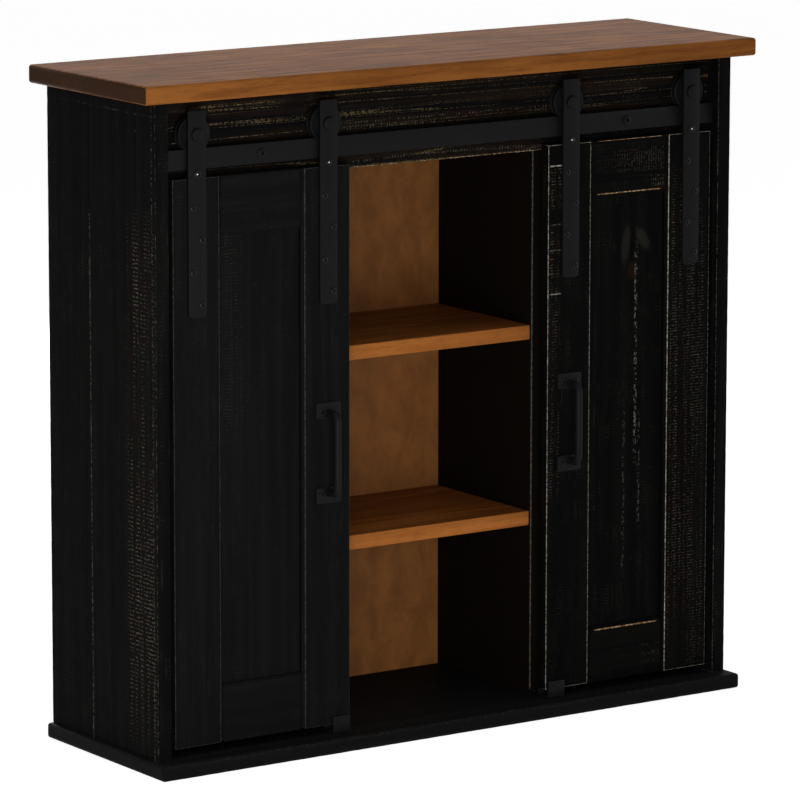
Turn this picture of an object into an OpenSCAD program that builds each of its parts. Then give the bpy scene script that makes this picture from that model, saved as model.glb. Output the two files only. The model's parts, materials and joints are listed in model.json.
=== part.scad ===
// Accent cabinet with two sliding barn doors on a flat rail.
// X runs along the width, Y from the front to the back, Z up.
// The origin is the middle of the footprint, on the surface it stands on.

/* [Carcass] */
// Width over the two side panels
body_w = 686; // [620:1:800]
// Height between the base board and the top board
body_h = 639; // [600:1:760]
// Depth of the side panels, from their front edges to the back
body_d = 198; // [180:1:260]
// Thickness of the side panels
side_t = 15; // [14:0.5:20]
// Thickness of the two dividers
divider_t = 15; // [14:0.5:20]
// Clear width of the open middle bay
bay_w = 236; // [200:1:250]
// Thickness of the top board
top_t = 18; // [15:0.5:24]
// How far the top board stands out over each side panel
top_side_over = 20; // [10:0.5:30]
// How far the top board stands out over the side panels' front edges
top_front_over = 17; // [8:0.5:18]
// Thickness of the base board
base_t = 15; // [14:0.5:22]
// How far the base board stands out past each side panel
base_side_over = 6; // [3:0.5:20]
// How far the base board stands out past the side panels' front edges
base_front_over = 19; // [18.5:0.5:30]
// Radius worked on the outer edges of the top and base boards
edge_r = 3; // [1:0.5:5]
// Thickness of the back panel
back_t = 4; // [3:0.5:6]
// Width of the rebate that takes the back panel in each side panel
rebate_w = 8; // [5:0.5:10]
// Height of the back panel's rebate in the top and base boards
rebate_h = 7; // [4:0.5:9]
// Distance of the first glue joint in a side panel from its front edge
plank_joint = 34; // [25:1:60]
// Distance between the glue joints in a side panel
plank_w = 86; // [60:1:110]
// Depth of the worn groove at a glue joint
joint_groove = 0.6; // [0.3:0.1:1.2]

/* [Header and shelves] */
// Height of the header board that carries the rail
header_h = 82; // [70:1:100]
// Thickness of the header board
header_t = 12; // [10:0.5:16]
// Distance of the header's front face behind the side panels' front edges
header_set = 18; // [17.5:0.5:24]
// Height of the hanging rail inside the top at the back
hang_h = 60; // [40:1:80]
// Thickness of the hanging rail
hang_t = 15; // [12:0.5:20]
// Distance between the two wall screw holes
hang_pitch = 406; // [380:1:420]
// Diameter of the wall screw holes
hang_hole_d = 5.5; // [4:0.5:8]
// Thickness of every shelf
shelf_t = 15; // [12:0.5:20]
// Distance of the shelves' front edges behind the dividers' front edges
shelf_set = 2; // [0:0.5:20]
// Height of the lower middle shelf's top face above the base board
shelf_low_z = 189; // [120:1:230]
// Height of the upper middle shelf's top face above the base board
shelf_high_z = 379; // [300:1:430]
// Height of the side shelves' top faces above the base board
shelf_side_z = 284; // [200:1:360]
// Diameter of the shelf pins
pin_d = 5; // [4:0.5:6]
// How far each shelf pin goes into the wood
pin_in = 8; // [6:0.5:9]
// How far each shelf pin stands out under its shelf
pin_out = 9; // [6:0.5:12]
// Distance of the shelf pins from the shelf's front and back edges
pin_edge = 25; // [15:1:40]

/* [Doors] */
// Width of each door
door_w = 202; // [190:1:208]
// Distance of the doors' top edges below the top board
door_head = 76; // [72:1:90]
// Thickness of the stiles and rails of a door
door_t = 12; // [10:0.5:13]
// Gap between a door's bottom edge and the base board
door_lift = 9; // [7:0.5:12]
// Distance of the doors' front faces behind the side panels' front edges
door_set = 4; // [3.5:0.5:5]
// Gap between a parked door and the side panel next to it
door_gap = 7; // [6:0.5:12]
// Width of the door stiles
stile_w = 55; // [46:1:62]
// Height of the top and bottom rails of a door
door_rail_h = 57; // [45:1:72]
// Width of the chamfers where stiles, rails and panel meet
joint_chamfer = 3; // [1:0.5:4]
// Thickness of the door panels
panel_t = 4; // [3:0.5:4.5]
// How far a panel's front face lies behind the stiles' front faces
panel_set = 6; // [4.5:0.5:7]
// Depth of the groove that holds the panel
panel_tongue = 7; // [4:0.5:10]

/* [Rail and hangers] */
// Height of the flat rail
rail_h = 20; // [18:0.5:26]
// Thickness of the flat rail
rail_t = 4; // [3:0.5:5]
// Distance of the rail's top edge below the top board
rail_drop = 48; // [44:1:50]
// Gap at each end of the rail
rail_end_gap = 1; // [0.5:0.5:3]
// Distance of each rail bolt from the middle
rail_bolt_x = 218; // [190:1:240]
// Diameter of the rail bolts' shanks
rail_bolt_d = 5; // [4:0.5:6]
// Diameter of the spacers behind the rail
rail_spacer_d = 12; // [10:0.5:16]
// Diameter of the wheel's flanges
wheel_d = 36; // [32:0.5:40]
// Depth of the wheel's groove
groove_depth = 4; // [2:0.5:5]
// Width of a wheel along its axle
wheel_w = 8; // [7:0.5:9]
// Diameter of the axle bolts
axle_d = 6; // [4:0.5:8]
// Diameter of the axle bolts' heads
axle_head_d = 13; // [10:0.5:16]
// Distance of the straps' and the pull's middles from the door's side edges
strap_in = 26; // [22:1:32]
// Width of the hanger straps
strap_w = 20; // [18:0.5:26]
// Thickness of the hanger straps
strap_t = 3; // [2:0.5:3]
// How far a strap reaches down over the door's front
strap_grip = 134; // [110:1:160]
// How far a strap reaches up past its axle
strap_above = 23; // [20:1:26]
// Radius at the lower corners of a strap
strap_r = 4; // [2:0.5:8]
// Height between the strap screws
strap_screw_pitch = 31.3; // [26:0.1:34]
// How far the strap screws lie left and right of the strap's middle
strap_screw_zig = 5; // [3:0.5:6]
// Diameter of the strap screws' heads
strap_screw_head_d = 6.6; // [5:0.2:8]
// Diameter of the pin that keeps a wheel from lifting off the rail
lift_pin_d = 5; // [4:0.5:6]

/* [Pulls and guides] */
// Height of a pull's middle above the base board
pull_z = 282; // [200:1:360]
// Height between the middles of a pull's two foot plates
pull_pitch = 84; // [60:1:100]
// Width of a foot plate
foot_w = 29; // [24:0.5:34]
// Height of a foot plate
foot_h = 16; // [12:0.5:20]
// Thickness of a foot plate
foot_t = 2.5; // [2:0.5:3]
// Diameter of the pull's round bar
grip_d = 8; // [6:0.5:9]
// Distance of the bar's axis in front of the door
grip_reach = 18; // [17.5:0.5:18.5]
// Radius at the middle line of the bar's two bends
grip_bend_r = 8; // [6:0.5:9]
// How far each end of the bar lies in from its foot plate's middle
grip_in = 3; // [0:0.5:4]
// Distance between the two screws of a foot plate
foot_screw_pitch = 17; // [15:0.5:20]
// Width of a floor guide along the rail
guide_w = 20; // [16:0.5:24]
// Height of a floor guide's cheeks
guide_h = 17.5; // [15:0.5:20]
// Thickness of a floor guide
guide_t = 2.8; // [2:0.1:3]
// Distance of a floor guide's inner end from the bay's edge
guide_off = 2.5; // [0:0.5:6]

/* [Clearances] */
// Gap between two boards that are glued or screwed together
seat_gap = 0.02; // [0.01:0.01:0.1]
// Gap around a screw or dowel in its hole
hole_gap = 0.05; // [0.02:0.01:0.2]
// Gap between the rail's top edge and the bottom of a wheel's groove
roll_gap = 0.2; // [0.1:0.05:0.3]
// Gap beside the rail in a wheel's groove
groove_side_gap = 0.4; // [0.3:0.05:0.8]
// Gap between a door's face and a guide's cheek
guide_gap = 0.5; // [0.3:0.1:1]
// Gap all round the back panel in its rebates
panel_gap = 0.5; // [0.2:0.1:1]

/* [Hidden] */
$fn = 48;
round_fn = 96;
// How far a cut runs past the face it opens
e = 1;
front_y = -(body_d - base_front_over) / 2;
back_y = front_y + body_d;
floor_z = base_t;
roof_z = floor_z + body_h;
inner_x = body_w / 2 - side_t;
bay_x = bay_w / 2;
divider_x = bay_x + divider_t;
header_y = front_y + header_set;
divider_y = header_y + header_t;
shelf_y = divider_y + shelf_set;
back_in_y = back_y - back_t;
hang_y = back_in_y - hang_t;
header_z = roof_z - header_h;

door_y = front_y + door_set;
door_back_y = door_y + door_t;
door_out_x = inner_x - door_gap;
door_in_x = door_out_x - door_w;
door_z = floor_z + door_lift;
door_top_z = roof_z - door_head;
panel_y = door_y + panel_set;
panel_play = 1;
field_out_x = door_out_x - stile_w;
field_in_x = door_in_x + stile_w;
outer_strap_x = door_out_x - strap_in;
inner_strap_x = door_in_x + strap_in;
STRAPS = [outer_strap_x, inner_strap_x];

rail_y = door_y + (door_t - rail_t) / 2;
rail_top_z = roof_z - rail_drop;
rail_low_z = rail_top_z - rail_h;
rail_mid_z = rail_top_z - rail_h / 2;
groove_r = wheel_d / 2 - groove_depth;
groove_w = rail_t + 2 * groove_side_gap;
axle_z = rail_top_z + groove_r + roll_gap;
wheel_y = rail_y + rail_t / 2 - wheel_w / 2;
wheel_back_y = wheel_y + wheel_w;
strap_y = door_y - strap_t;
strap_low_z = door_top_z - strap_grip;
strap_top_z = axle_z + strap_above;
strap_top_r = 1;
pull_mid_z = floor_z + pull_z;
guide_x = bay_x + guide_off + guide_w / 2;
guide_y = door_y - guide_gap - guide_t;
guide_d = door_t + 2 * guide_gap + 2 * guide_t;

// A head or nut stays this far off the face beside it, and reaches this far over a shank
head_gap = 0.01;
shank_up = 0.4;
play = 0.15;
washer_d = 11;
axle_head_t = 3;
axle_head_bevel = 1;
nut_d = 10;
nut_t = 2.4;
lift_pin_clear = 1.2;
lift_pin_z = rail_low_z - lift_pin_clear - lift_pin_d / 2;
lift_head_t = 1.5;
lift_head_d1 = 5.4;
lift_head_d2 = 7.4;

strap_screws = 4;
strap_screw_top = 28;
strap_screw_z = door_top_z - strap_screw_top;
strap_screw_len = 12;
strap_screw_d = 3.5;
strap_head_t = 1.4;
strap_head_taper = 2.6;
pull_screw_len = 11;
pull_screw_d = 2.6;
pull_head_t = 1;
pull_head_d1 = 3;
pull_head_d2 = 4.6;
rail_bolt_len = 16;
rail_head_t = 2.4;
rail_head_d1 = 6;
rail_head_d2 = 10;
guide_screw_pitch = 10;
guide_screw_len = 12;
guide_screw_d = 3;
guide_head_d = 6;
guide_head_t = 1.6;

base_screw_len = 46;
base_screw_d = 4;
base_head_d = 8;
base_head_t = 3;
base_screw_front = 45;
base_screw_back = 40;
dowel_d = 8;
dowel_len = 24;
dowel_up = 8;
dowel_front = 50;
dowel_back = 45;
end_dowel_d = 6;
end_dowel_len = 20;
header_dowel_in = 22;
hang_dowel_in = 18;
nail_d = 1.6;
nail_head_d = 3.6;
nail_head_t = 1;
nail_len = 14;
nail_rows = 5;
nail_low = 60;
nail_high = 90;
nail_side_in = 4.5;
shelf_end_gap = 0.3;

wood_black = [0.09, 0.085, 0.08];
wood_tan = [0.55, 0.32, 0.15];
board_brown = [0.42, 0.25, 0.12];
steel_black = [0.13, 0.13, 0.135];
steel_plain = [0.62, 0.62, 0.60];
beech = [0.74, 0.60, 0.42];

SIDES = [-1, 1];

// A box between two corners
module block(lo, hi) {
    translate(lo) cube(hi - lo);
}

// A round bar that starts at p and runs back along Y; d2 is its far diameter if it tapers
module rod(p, d, length, d2 = 0) {
    translate(p) rotate([-90, 0, 0]) cylinder(d1 = d, d2 = d2 > 0 ? d2 : d, h = length);
}

// Cuts an edge that runs up from p, or a groove in a face, to the depth c
module cut_up(p, length, c) {
    side = c * sqrt(2);
    translate(p) rotate([0, 0, 45]) translate([-side / 2, -side / 2, 0]) cube([side, side, length]);
}

// Cuts an edge that runs along X from p to the depth c
module cut_along(p, length, c) {
    side = c * sqrt(2);
    translate(p) rotate([45, 0, 0]) translate([0, -side / 2, -side / 2]) cube([length, side, side]);
}

// A rectangle from [0, 0] to size whose corners have the radii r, in the order
// low left, low right, top right, top left
module soft_rect(size, r) {
    difference() {
        square(size);
        for (i = [0:3]) {
            right = (i == 1 || i == 2);
            top = (i > 1);
            if (r[i] > 0) translate([right ? size[0] - r[i] : 0, top ? size[1] - r[i] : 0])
                difference() {
                    translate([right ? 0 : -e, top ? 0 : -e]) square(r[i] + e);
                    translate([right ? 0 : r[i], top ? 0 : r[i]]) circle(r = r[i]);
                }
        }
    }
}

// A board with its front and end edges rounded over, back edges left square
module eased_board(w, d, t, r) {
    intersection() {
        translate([-w / 2, 0, 0]) rotate([90, 0, 90]) linear_extrude(w)
            soft_rect([d, t], [r, 0, 0, r]);
        translate([-w / 2, d, 0]) rotate([90, 0, 0]) linear_extrude(d)
            soft_rect([w, t], [r, r, r, r]);
        translate([-w / 2, 0, 0]) linear_extrude(t) soft_rect([w, d], [r, r, 0, 0]);
    }
}

// The fixings below take a gap: 0 makes the fixing, more makes the hole it sits in

// Base screws: two in each side panel and two in each divider
wall_mid_xs = [-body_w / 2 + side_t / 2, -bay_x - divider_t / 2,
    bay_x + divider_t / 2, body_w / 2 - side_t / 2];
module base_screw_set(gap) {
    for (x = wall_mid_xs, y = [front_y + base_screw_front, back_in_y - base_screw_back])
        translate([x, y, 0]) {
            cylinder(d = base_screw_d + 2 * gap, h = base_screw_len + gap);
            cylinder(d1 = base_head_d + 2 * gap, d2 = base_screw_d + 2 * gap, h = base_head_t);
            if (gap > 0)
                translate([0, 0, -e]) cylinder(d = base_head_d + 2 * gap, h = e + gap);
        }
}

// Dowels that locate the top board on the side panels and dividers
module top_dowel_set(gap) {
    for (x = wall_mid_xs, y = [front_y + dowel_front, back_in_y - dowel_back])
        translate([x, y, roof_z + dowel_up - dowel_len - gap])
            cylinder(d = dowel_d + 2 * gap, h = dowel_len + 2 * gap);
}

// A dowel across the joint between a side panel's inner face and a board's end
module end_dowel(s, y, z, gap) {
    translate([s * inner_x - end_dowel_len / 2 - gap, y, z]) rotate([0, 90, 0])
        cylinder(d = end_dowel_d + 2 * gap, h = end_dowel_len + 2 * gap);
}

// Dowels that hold the header's ends in the side panels
module header_dowel_set(gap) {
    for (s = SIDES, z = [header_z + header_dowel_in, roof_z - header_dowel_in])
        end_dowel(s, header_y + header_t / 2, z, gap);
}

// Dowels that hold the hanging rail's ends in the side panels
module hanging_dowel_set(gap) {
    for (s = SIDES, dz = [hang_dowel_in, hang_h - hang_dowel_in])
        end_dowel(s, hang_y + hang_t / 2, roof_z - dz, gap);
}

// Shelf pins under every shelf: [x of the wall, direction into the bay, top of the shelf]
pin_walls = [
    [-bay_x, 1, shelf_low_z], [bay_x, -1, shelf_low_z],
    [-bay_x, 1, shelf_high_z], [bay_x, -1, shelf_high_z],
    [-inner_x, 1, shelf_side_z], [-divider_x, -1, shelf_side_z],
    [divider_x, 1, shelf_side_z], [inner_x, -1, shelf_side_z]];
module pin_set(gap) {
    reach = pin_in + gap + (gap > 0 ? e : pin_out);
    drop = shelf_t + seat_gap + pin_d / 2;
    for (w = pin_walls, y = [shelf_y + pin_edge, back_in_y - pin_edge])
        translate([w[0] - w[1] * (pin_in + gap), y, floor_z + w[2] - drop])
            rotate([0, 90 * w[1], 0]) cylinder(d = pin_d + 2 * gap, h = reach);
}

// Small nails round the back panel
nail_xs = [-body_w / 2 + side_t - nail_side_in, -bay_x - divider_t / 2,
    bay_x + divider_t / 2, body_w / 2 - side_t + nail_side_in];
nail_step = (body_h - nail_low - nail_high) / (nail_rows - 1);
module nail_set(gap) {
    for (x = nail_xs, i = [0:nail_rows - 1])
        translate([x, back_y, floor_z + nail_low + i * nail_step]) rotate([90, 0, 0]) {
            cylinder(d = nail_d + 2 * gap, h = nail_len + gap);
            cylinder(d = nail_head_d + 2 * gap, h = nail_head_t + gap);
            if (gap > 0)
                translate([0, 0, -e]) cylinder(d = nail_head_d + 2 * gap, h = 2 * e);
        }
}

// Wall screw holes through the hanging rail and the back panel
module wall_holes() {
    for (s = SIDES)
        rod([s * hang_pitch / 2, hang_y - e, roof_z - hang_h / 2], hang_hole_d,
            back_y - hang_y + 2 * e);
}

// A screw along Y whose head lies on the face at y; up is how far the shank or hole starts before it
module shank(x, y, z, d, length, gap) {
    up = gap > 0 ? e : shank_up;
    rod([x, y - up, z], d + 2 * gap, length + gap + up);
}

// Rail bolts run through the rail and spacers into the header
module rail_bolt_set(gap) {
    for (s = SIDES) {
        shank(s * rail_bolt_x, rail_y, rail_mid_z, rail_bolt_d, rail_bolt_len, gap);
        if (gap == 0)
            rod([s * rail_bolt_x, rail_y - rail_head_t, rail_mid_z], rail_head_d1,
                rail_head_t - head_gap, rail_head_d2);
    }
}

// Screws that hold the floor guides down
module guide_screw_set(gap) {
    for (s = SIDES, dx = [-0.5, 0.5])
        translate([s * guide_x + dx * guide_screw_pitch, door_y + door_t / 2, floor_z + guide_t]) {
            translate([0, 0, -guide_screw_len - gap])
                cylinder(d = guide_screw_d + 2 * gap, h = guide_screw_len + gap);
            translate([0, 0, -guide_head_t])
                cylinder(d1 = guide_screw_d + 2 * gap, d2 = guide_head_d + 2 * gap, h = guide_head_t);
            if (gap > 0) cylinder(d = guide_head_d + 2 * gap, h = e);
        }
}

module top_board() {
    color(wood_tan) difference() {
        translate([0, front_y - top_front_over, roof_z + seat_gap])
            eased_board(body_w + 2 * top_side_over, body_d + top_front_over, top_t, edge_r);
        block([-body_w, back_in_y, roof_z - e], [body_w, back_y + e, roof_z + rebate_h]);
        top_dowel_set(hole_gap);
    }
}

module base_board() {
    color(wood_black) difference() {
        translate([0, front_y - base_front_over, 0])
            eased_board(body_w + 2 * base_side_over, body_d + base_front_over, base_t, edge_r);
        block([-body_w, back_in_y, floor_z - rebate_h], [body_w, back_y + e, floor_z + e]);
        base_screw_set(hole_gap);
        guide_screw_set(hole_gap);
    }
}

// The right side panel, built at its place
module side_board() {
    color(wood_black) difference() {
        block([inner_x, front_y, floor_z + seat_gap], [body_w / 2, back_y, roof_z]);
        block([inner_x - e, back_in_y, floor_z - e], [inner_x + rebate_w, back_y + e, roof_z + e]);
        for (y = [plank_joint, plank_joint + plank_w])
            cut_up([body_w / 2, front_y + y, floor_z - e], body_h + 2 * e, joint_groove);
        base_screw_set(hole_gap);
        top_dowel_set(hole_gap);
        header_dowel_set(hole_gap);
        hanging_dowel_set(hole_gap);
        pin_set(hole_gap);
        nail_set(hole_gap);
    }
}
module left_side_panel() { mirror([1, 0, 0]) side_board(); }
module right_side_panel() { side_board(); }

// The right divider, notched for the hanging rail
module divider_board() {
    color(wood_black) difference() {
        block([bay_x, divider_y + seat_gap, floor_z + seat_gap],
            [divider_x, back_in_y - seat_gap, roof_z]);
        block([bay_x - e, hang_y - seat_gap, roof_z - hang_h - seat_gap],
            [divider_x + e, back_y, roof_z + e]);
        base_screw_set(hole_gap);
        top_dowel_set(hole_gap);
        pin_set(hole_gap);
        nail_set(hole_gap);
    }
}
module left_divider() { mirror([1, 0, 0]) divider_board(); }
module right_divider() { divider_board(); }

module back_panel() {
    half = inner_x + rebate_w - panel_gap;
    color(board_brown) difference() {
        block([-half, back_in_y, floor_z - rebate_h + panel_gap],
            [half, back_y, roof_z + rebate_h - panel_gap]);
        nail_set(hole_gap);
        wall_holes();
    }
}

module header_board() {
    color(wood_black) difference() {
        block([-inner_x + seat_gap, header_y, header_z], [inner_x - seat_gap, divider_y, roof_z]);
        header_dowel_set(hole_gap);
        rail_bolt_set(hole_gap);
    }
}

module hanging_rail() {
    color(wood_black) difference() {
        block([-inner_x + seat_gap, hang_y, roof_z - hang_h],
            [inner_x - seat_gap, back_in_y - seat_gap, roof_z]);
        hanging_dowel_set(hole_gap);
        wall_holes();
    }
}

// A shelf between the walls at x0 and x1, its top at height z above the base board
module shelf(x0, x1, z) {
    color(wood_tan)
        block([x0 + shelf_end_gap, shelf_y, floor_z + z - shelf_t],
            [x1 - shelf_end_gap, back_in_y - shelf_end_gap, floor_z + z]);
}
module upper_shelf() { shelf(-bay_x, bay_x, shelf_high_z); }
module lower_shelf() { shelf(-bay_x, bay_x, shelf_low_z); }
module left_shelf() { shelf(-inner_x, -divider_x, shelf_side_z); }
module right_shelf() { shelf(divider_x, inner_x, shelf_side_z); }

module shelf_pins() { color(steel_plain) pin_set(0); }

module barn_rail() {
    half = inner_x - rail_end_gap;
    color(steel_black) difference() {
        block([-half, rail_y, rail_low_z], [half, rail_y + rail_t, rail_top_z]);
        rail_bolt_set(hole_gap);
    }
}

module rail_spacers() {
    y0 = rail_y + rail_t + seat_gap;
    color(steel_black) for (s = SIDES) difference() {
        rod([s * rail_bolt_x, y0, rail_mid_z], rail_spacer_d, header_y - seat_gap - y0);
        rod([s * rail_bolt_x, rail_y, rail_mid_z], rail_bolt_d + 2 * hole_gap,
            header_y - rail_y + e);
    }
}

module rail_bolts() { color(steel_black) rail_bolt_set(0); }

// A channel that keeps the foot of a door in line, screwed to the base board
module floor_guide(s) {
    color(steel_black) difference() {
        block([s * guide_x - guide_w / 2, guide_y, floor_z + seat_gap],
            [s * guide_x + guide_w / 2, guide_y + guide_d, floor_z + guide_h]);
        block([s * guide_x - guide_w, guide_y + guide_t, floor_z + guide_t],
            [s * guide_x + guide_w, guide_y + guide_d - guide_t, floor_z + guide_h + e]);
        guide_screw_set(hole_gap);
    }
}
module left_floor_guide() { floor_guide(-1); }
module right_floor_guide() { floor_guide(1); }
module guide_screws() { color(steel_plain) guide_screw_set(0); }

module base_screws() { color(steel_plain) base_screw_set(0); }
module top_dowels() { color(beech) top_dowel_set(0); }
module header_dowels() { color(beech) header_dowel_set(0); }
module hanging_rail_dowels() { color(beech) hanging_dowel_set(0); }
module back_nails() { color(steel_plain) nail_set(0); }

// The doors are built as the right hand one and mirrored for the left

// The space of the panel with its grooves, each side moved in by inset, with clear at its faces
module panel_block(inset, clear) {
    reach = panel_tongue - inset;
    block([field_in_x - reach, panel_y - clear, door_z + door_rail_h - reach],
        [field_out_x + reach, panel_y + panel_t + clear, door_top_z - door_rail_h + reach]);
}

// Screws of one strap at x; lean turns the zigzag over for a mirrored door
module strap_screw_row(x, lean, gap) {
    for (i = [0:strap_screws - 1]) {
        px = x + lean * strap_screw_zig * (i % 2 == 0 ? -1 : 1);
        pz = strap_screw_z - i * strap_screw_pitch;
        shank(px, strap_y, pz, strap_screw_d, strap_screw_len, gap);
        if (gap == 0)
            rod([px, strap_y - strap_head_t, pz], strap_screw_head_d - strap_head_taper,
                strap_head_t - head_gap, strap_screw_head_d);
    }
}

// Screws of one pull
module pull_screw_grid(gap) {
    for (dz = [-0.5, 0.5], dx = [-0.5, 0.5]) {
        x = inner_strap_x + dx * foot_screw_pitch;
        z = pull_mid_z + dz * pull_pitch;
        shank(x, door_y - foot_t, z, pull_screw_d, pull_screw_len, gap);
        if (gap == 0)
            rod([x, door_y - foot_t - pull_head_t, z], pull_head_d1,
                pull_head_t - head_gap, pull_head_d2);
    }
}

// A stile, its inner front edge chamfered beside the rails and the panel
module stile(outer, lean) {
    x = outer ? field_out_x : door_in_x;
    color(wood_black) difference() {
        block([x, door_y, door_z], [x + stile_w, door_back_y, door_top_z]);
        cut_up([outer ? field_out_x : field_in_x, door_y, door_z - e],
            door_top_z - door_z + 2 * e, joint_chamfer);
        panel_block(0, seat_gap);
        strap_screw_row(outer ? outer_strap_x : inner_strap_x, lean, hole_gap);
        pull_screw_grid(hole_gap);
    }
}

// A rail of a door from z up, chamfered at both ends and along its edge beside the panel
module door_rail(z, panel_edge_z) {
    x0 = field_in_x + seat_gap;
    x1 = field_out_x - seat_gap;
    color(wood_black) difference() {
        block([x0, door_y, z], [x1, door_back_y, z + door_rail_h]);
        for (x = [x0, x1]) cut_up([x, door_y, z - e], door_rail_h + 2 * e, joint_chamfer);
        cut_along([x0 - e, door_y, panel_edge_z], x1 - x0 + 2 * e, joint_chamfer);
        panel_block(0, seat_gap);
    }
}
module top_door_rail() { door_rail(door_top_z - door_rail_h, door_top_z - door_rail_h); }
module bottom_door_rail() { door_rail(door_z, door_z + door_rail_h); }

module door_panel() { color(wood_black) panel_block(panel_play, 0); }

module strap(x, lean) {
    color(steel_black) difference() {
        translate([x - strap_w / 2, door_y - seat_gap, strap_low_z]) rotate([90, 0, 0])
            linear_extrude(strap_t - seat_gap)
                soft_rect([strap_w, strap_top_z - strap_low_z],
                    [strap_r, strap_r, strap_top_r, strap_top_r]);
        rod([x, strap_y - e, axle_z], axle_d + 2 * hole_gap, strap_t + 2 * e);
        rod([x, strap_y - e, lift_pin_z], lift_pin_d + 2 * hole_gap, strap_t + 2 * e);
        strap_screw_row(x, lean, hole_gap);
    }
}

module wheel(x) {
    color(steel_black) translate([x, wheel_y, axle_z]) rotate([-90, 0, 0]) difference() {
        cylinder(d = wheel_d, h = wheel_w, $fn = round_fn);
        translate([0, 0, (wheel_w - groove_w) / 2]) difference() {
            cylinder(r = wheel_d / 2 + e, h = groove_w, $fn = round_fn);
            translate([0, 0, -e]) cylinder(r = groove_r, h = groove_w + 2 * e, $fn = round_fn);
        }
        translate([0, 0, -e]) cylinder(d = axle_d + 2 * hole_gap, h = wheel_w + 2 * e);
    }
}

// A bolt with its head on the strap and its nut behind the wheel
module axle_bolt(x) {
    head_y = strap_y - axle_head_t;
    rod([x, strap_y - shank_up, axle_z], axle_d, wheel_back_y + nut_t - strap_y + shank_up);
    rod([x, head_y, axle_z], axle_head_d - 2 * axle_head_bevel, axle_head_bevel, axle_head_d);
    rod([x, head_y + axle_head_bevel, axle_z], axle_head_d,
        axle_head_t - axle_head_bevel - head_gap);
    translate([x, wheel_back_y + play, axle_z]) rotate([-90, 0, 0])
        cylinder(d = nut_d, h = nut_t - play, $fn = 6);
}

module axle_washer(x) {
    difference() {
        rod([x, door_y + seat_gap, axle_z], washer_d, wheel_y - door_y - play);
        rod([x, door_y - e, axle_z], axle_d + 2 * hole_gap, wheel_y - door_y + 2 * e);
    }
}

// A pin under the rail that keeps the wheels from lifting off it
module lift_pin(x) {
    rod([x, strap_y - shank_up, lift_pin_z], lift_pin_d, door_back_y - strap_y + shank_up);
    rod([x, strap_y - lift_head_t, lift_pin_z], lift_head_d1, lift_head_t - head_gap, lift_head_d2);
}

// The upper half of a pull: foot plate, arm and bend
module half_pull() {
    half = pull_pitch / 2;
    bend_y = -grip_reach + grip_bend_r;
    translate([-foot_w / 2, -foot_t, half - foot_h / 2])
        cube([foot_w, foot_t - seat_gap, foot_h]);
    rod([0, bend_y, half - grip_in], grip_d, -bend_y - foot_t / 2);
    translate([0, bend_y, half - grip_in - grip_bend_r])
        rotate([90, 0, 90]) rotate([0, 0, 90]) rotate_extrude(angle = 90)
            translate([grip_bend_r, 0]) circle(d = grip_d);
}

module pull() {
    reach = pull_pitch / 2 - grip_in - grip_bend_r;
    color(steel_black) difference() {
        translate([inner_strap_x, door_y, pull_mid_z]) {
            half_pull();
            mirror([0, 0, 1]) half_pull();
            translate([0, -grip_reach, -reach]) cylinder(d = grip_d, h = 2 * reach);
        }
        pull_screw_grid(hole_gap);
    }
}

module strap_screw_pair(lean) {
    color(steel_black) for (x = STRAPS) strap_screw_row(x, lean, 0);
}
module axle_bolt_pair() { color(steel_black) for (x = STRAPS) axle_bolt(x); }
module axle_washer_pair() { color(steel_black) for (x = STRAPS) axle_washer(x); }
module lift_pin_pair() { color(steel_plain) for (x = STRAPS) lift_pin(x); }
module pull_screws() { color(steel_black) pull_screw_grid(0); }

module left_door_outer_stile() { mirror([1, 0, 0]) stile(true, -1); }
module left_door_inner_stile() { mirror([1, 0, 0]) stile(false, -1); }
module left_door_top_rail() { mirror([1, 0, 0]) top_door_rail(); }
module left_door_bottom_rail() { mirror([1, 0, 0]) bottom_door_rail(); }
module left_door_panel() { mirror([1, 0, 0]) door_panel(); }
module left_door_outer_strap() { mirror([1, 0, 0]) strap(outer_strap_x, -1); }
module left_door_inner_strap() { mirror([1, 0, 0]) strap(inner_strap_x, -1); }
module left_door_strap_screws() { mirror([1, 0, 0]) strap_screw_pair(-1); }
module left_door_axle_bolts() { mirror([1, 0, 0]) axle_bolt_pair(); }
module left_door_axle_washers() { mirror([1, 0, 0]) axle_washer_pair(); }
module left_door_lift_pins() { mirror([1, 0, 0]) lift_pin_pair(); }
module left_door_pull() { mirror([1, 0, 0]) pull(); }
module left_door_pull_screws() { mirror([1, 0, 0]) pull_screws(); }
module left_outer_wheel() { mirror([1, 0, 0]) wheel(outer_strap_x); }
module left_inner_wheel() { mirror([1, 0, 0]) wheel(inner_strap_x); }

module right_door_outer_stile() { stile(true, 1); }
module right_door_inner_stile() { stile(false, 1); }
module right_door_top_rail() { top_door_rail(); }
module right_door_bottom_rail() { bottom_door_rail(); }
module right_door_panel() { door_panel(); }
module right_door_outer_strap() { strap(outer_strap_x, 1); }
module right_door_inner_strap() { strap(inner_strap_x, 1); }
module right_door_strap_screws() { strap_screw_pair(1); }
module right_door_axle_bolts() { axle_bolt_pair(); }
module right_door_axle_washers() { axle_washer_pair(); }
module right_door_lift_pins() { lift_pin_pair(); }
module right_door_pull() { pull(); }
module right_door_pull_screws() { pull_screws(); }
module right_outer_wheel() { wheel(outer_strap_x); }
module right_inner_wheel() { wheel(inner_strap_x); }

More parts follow.
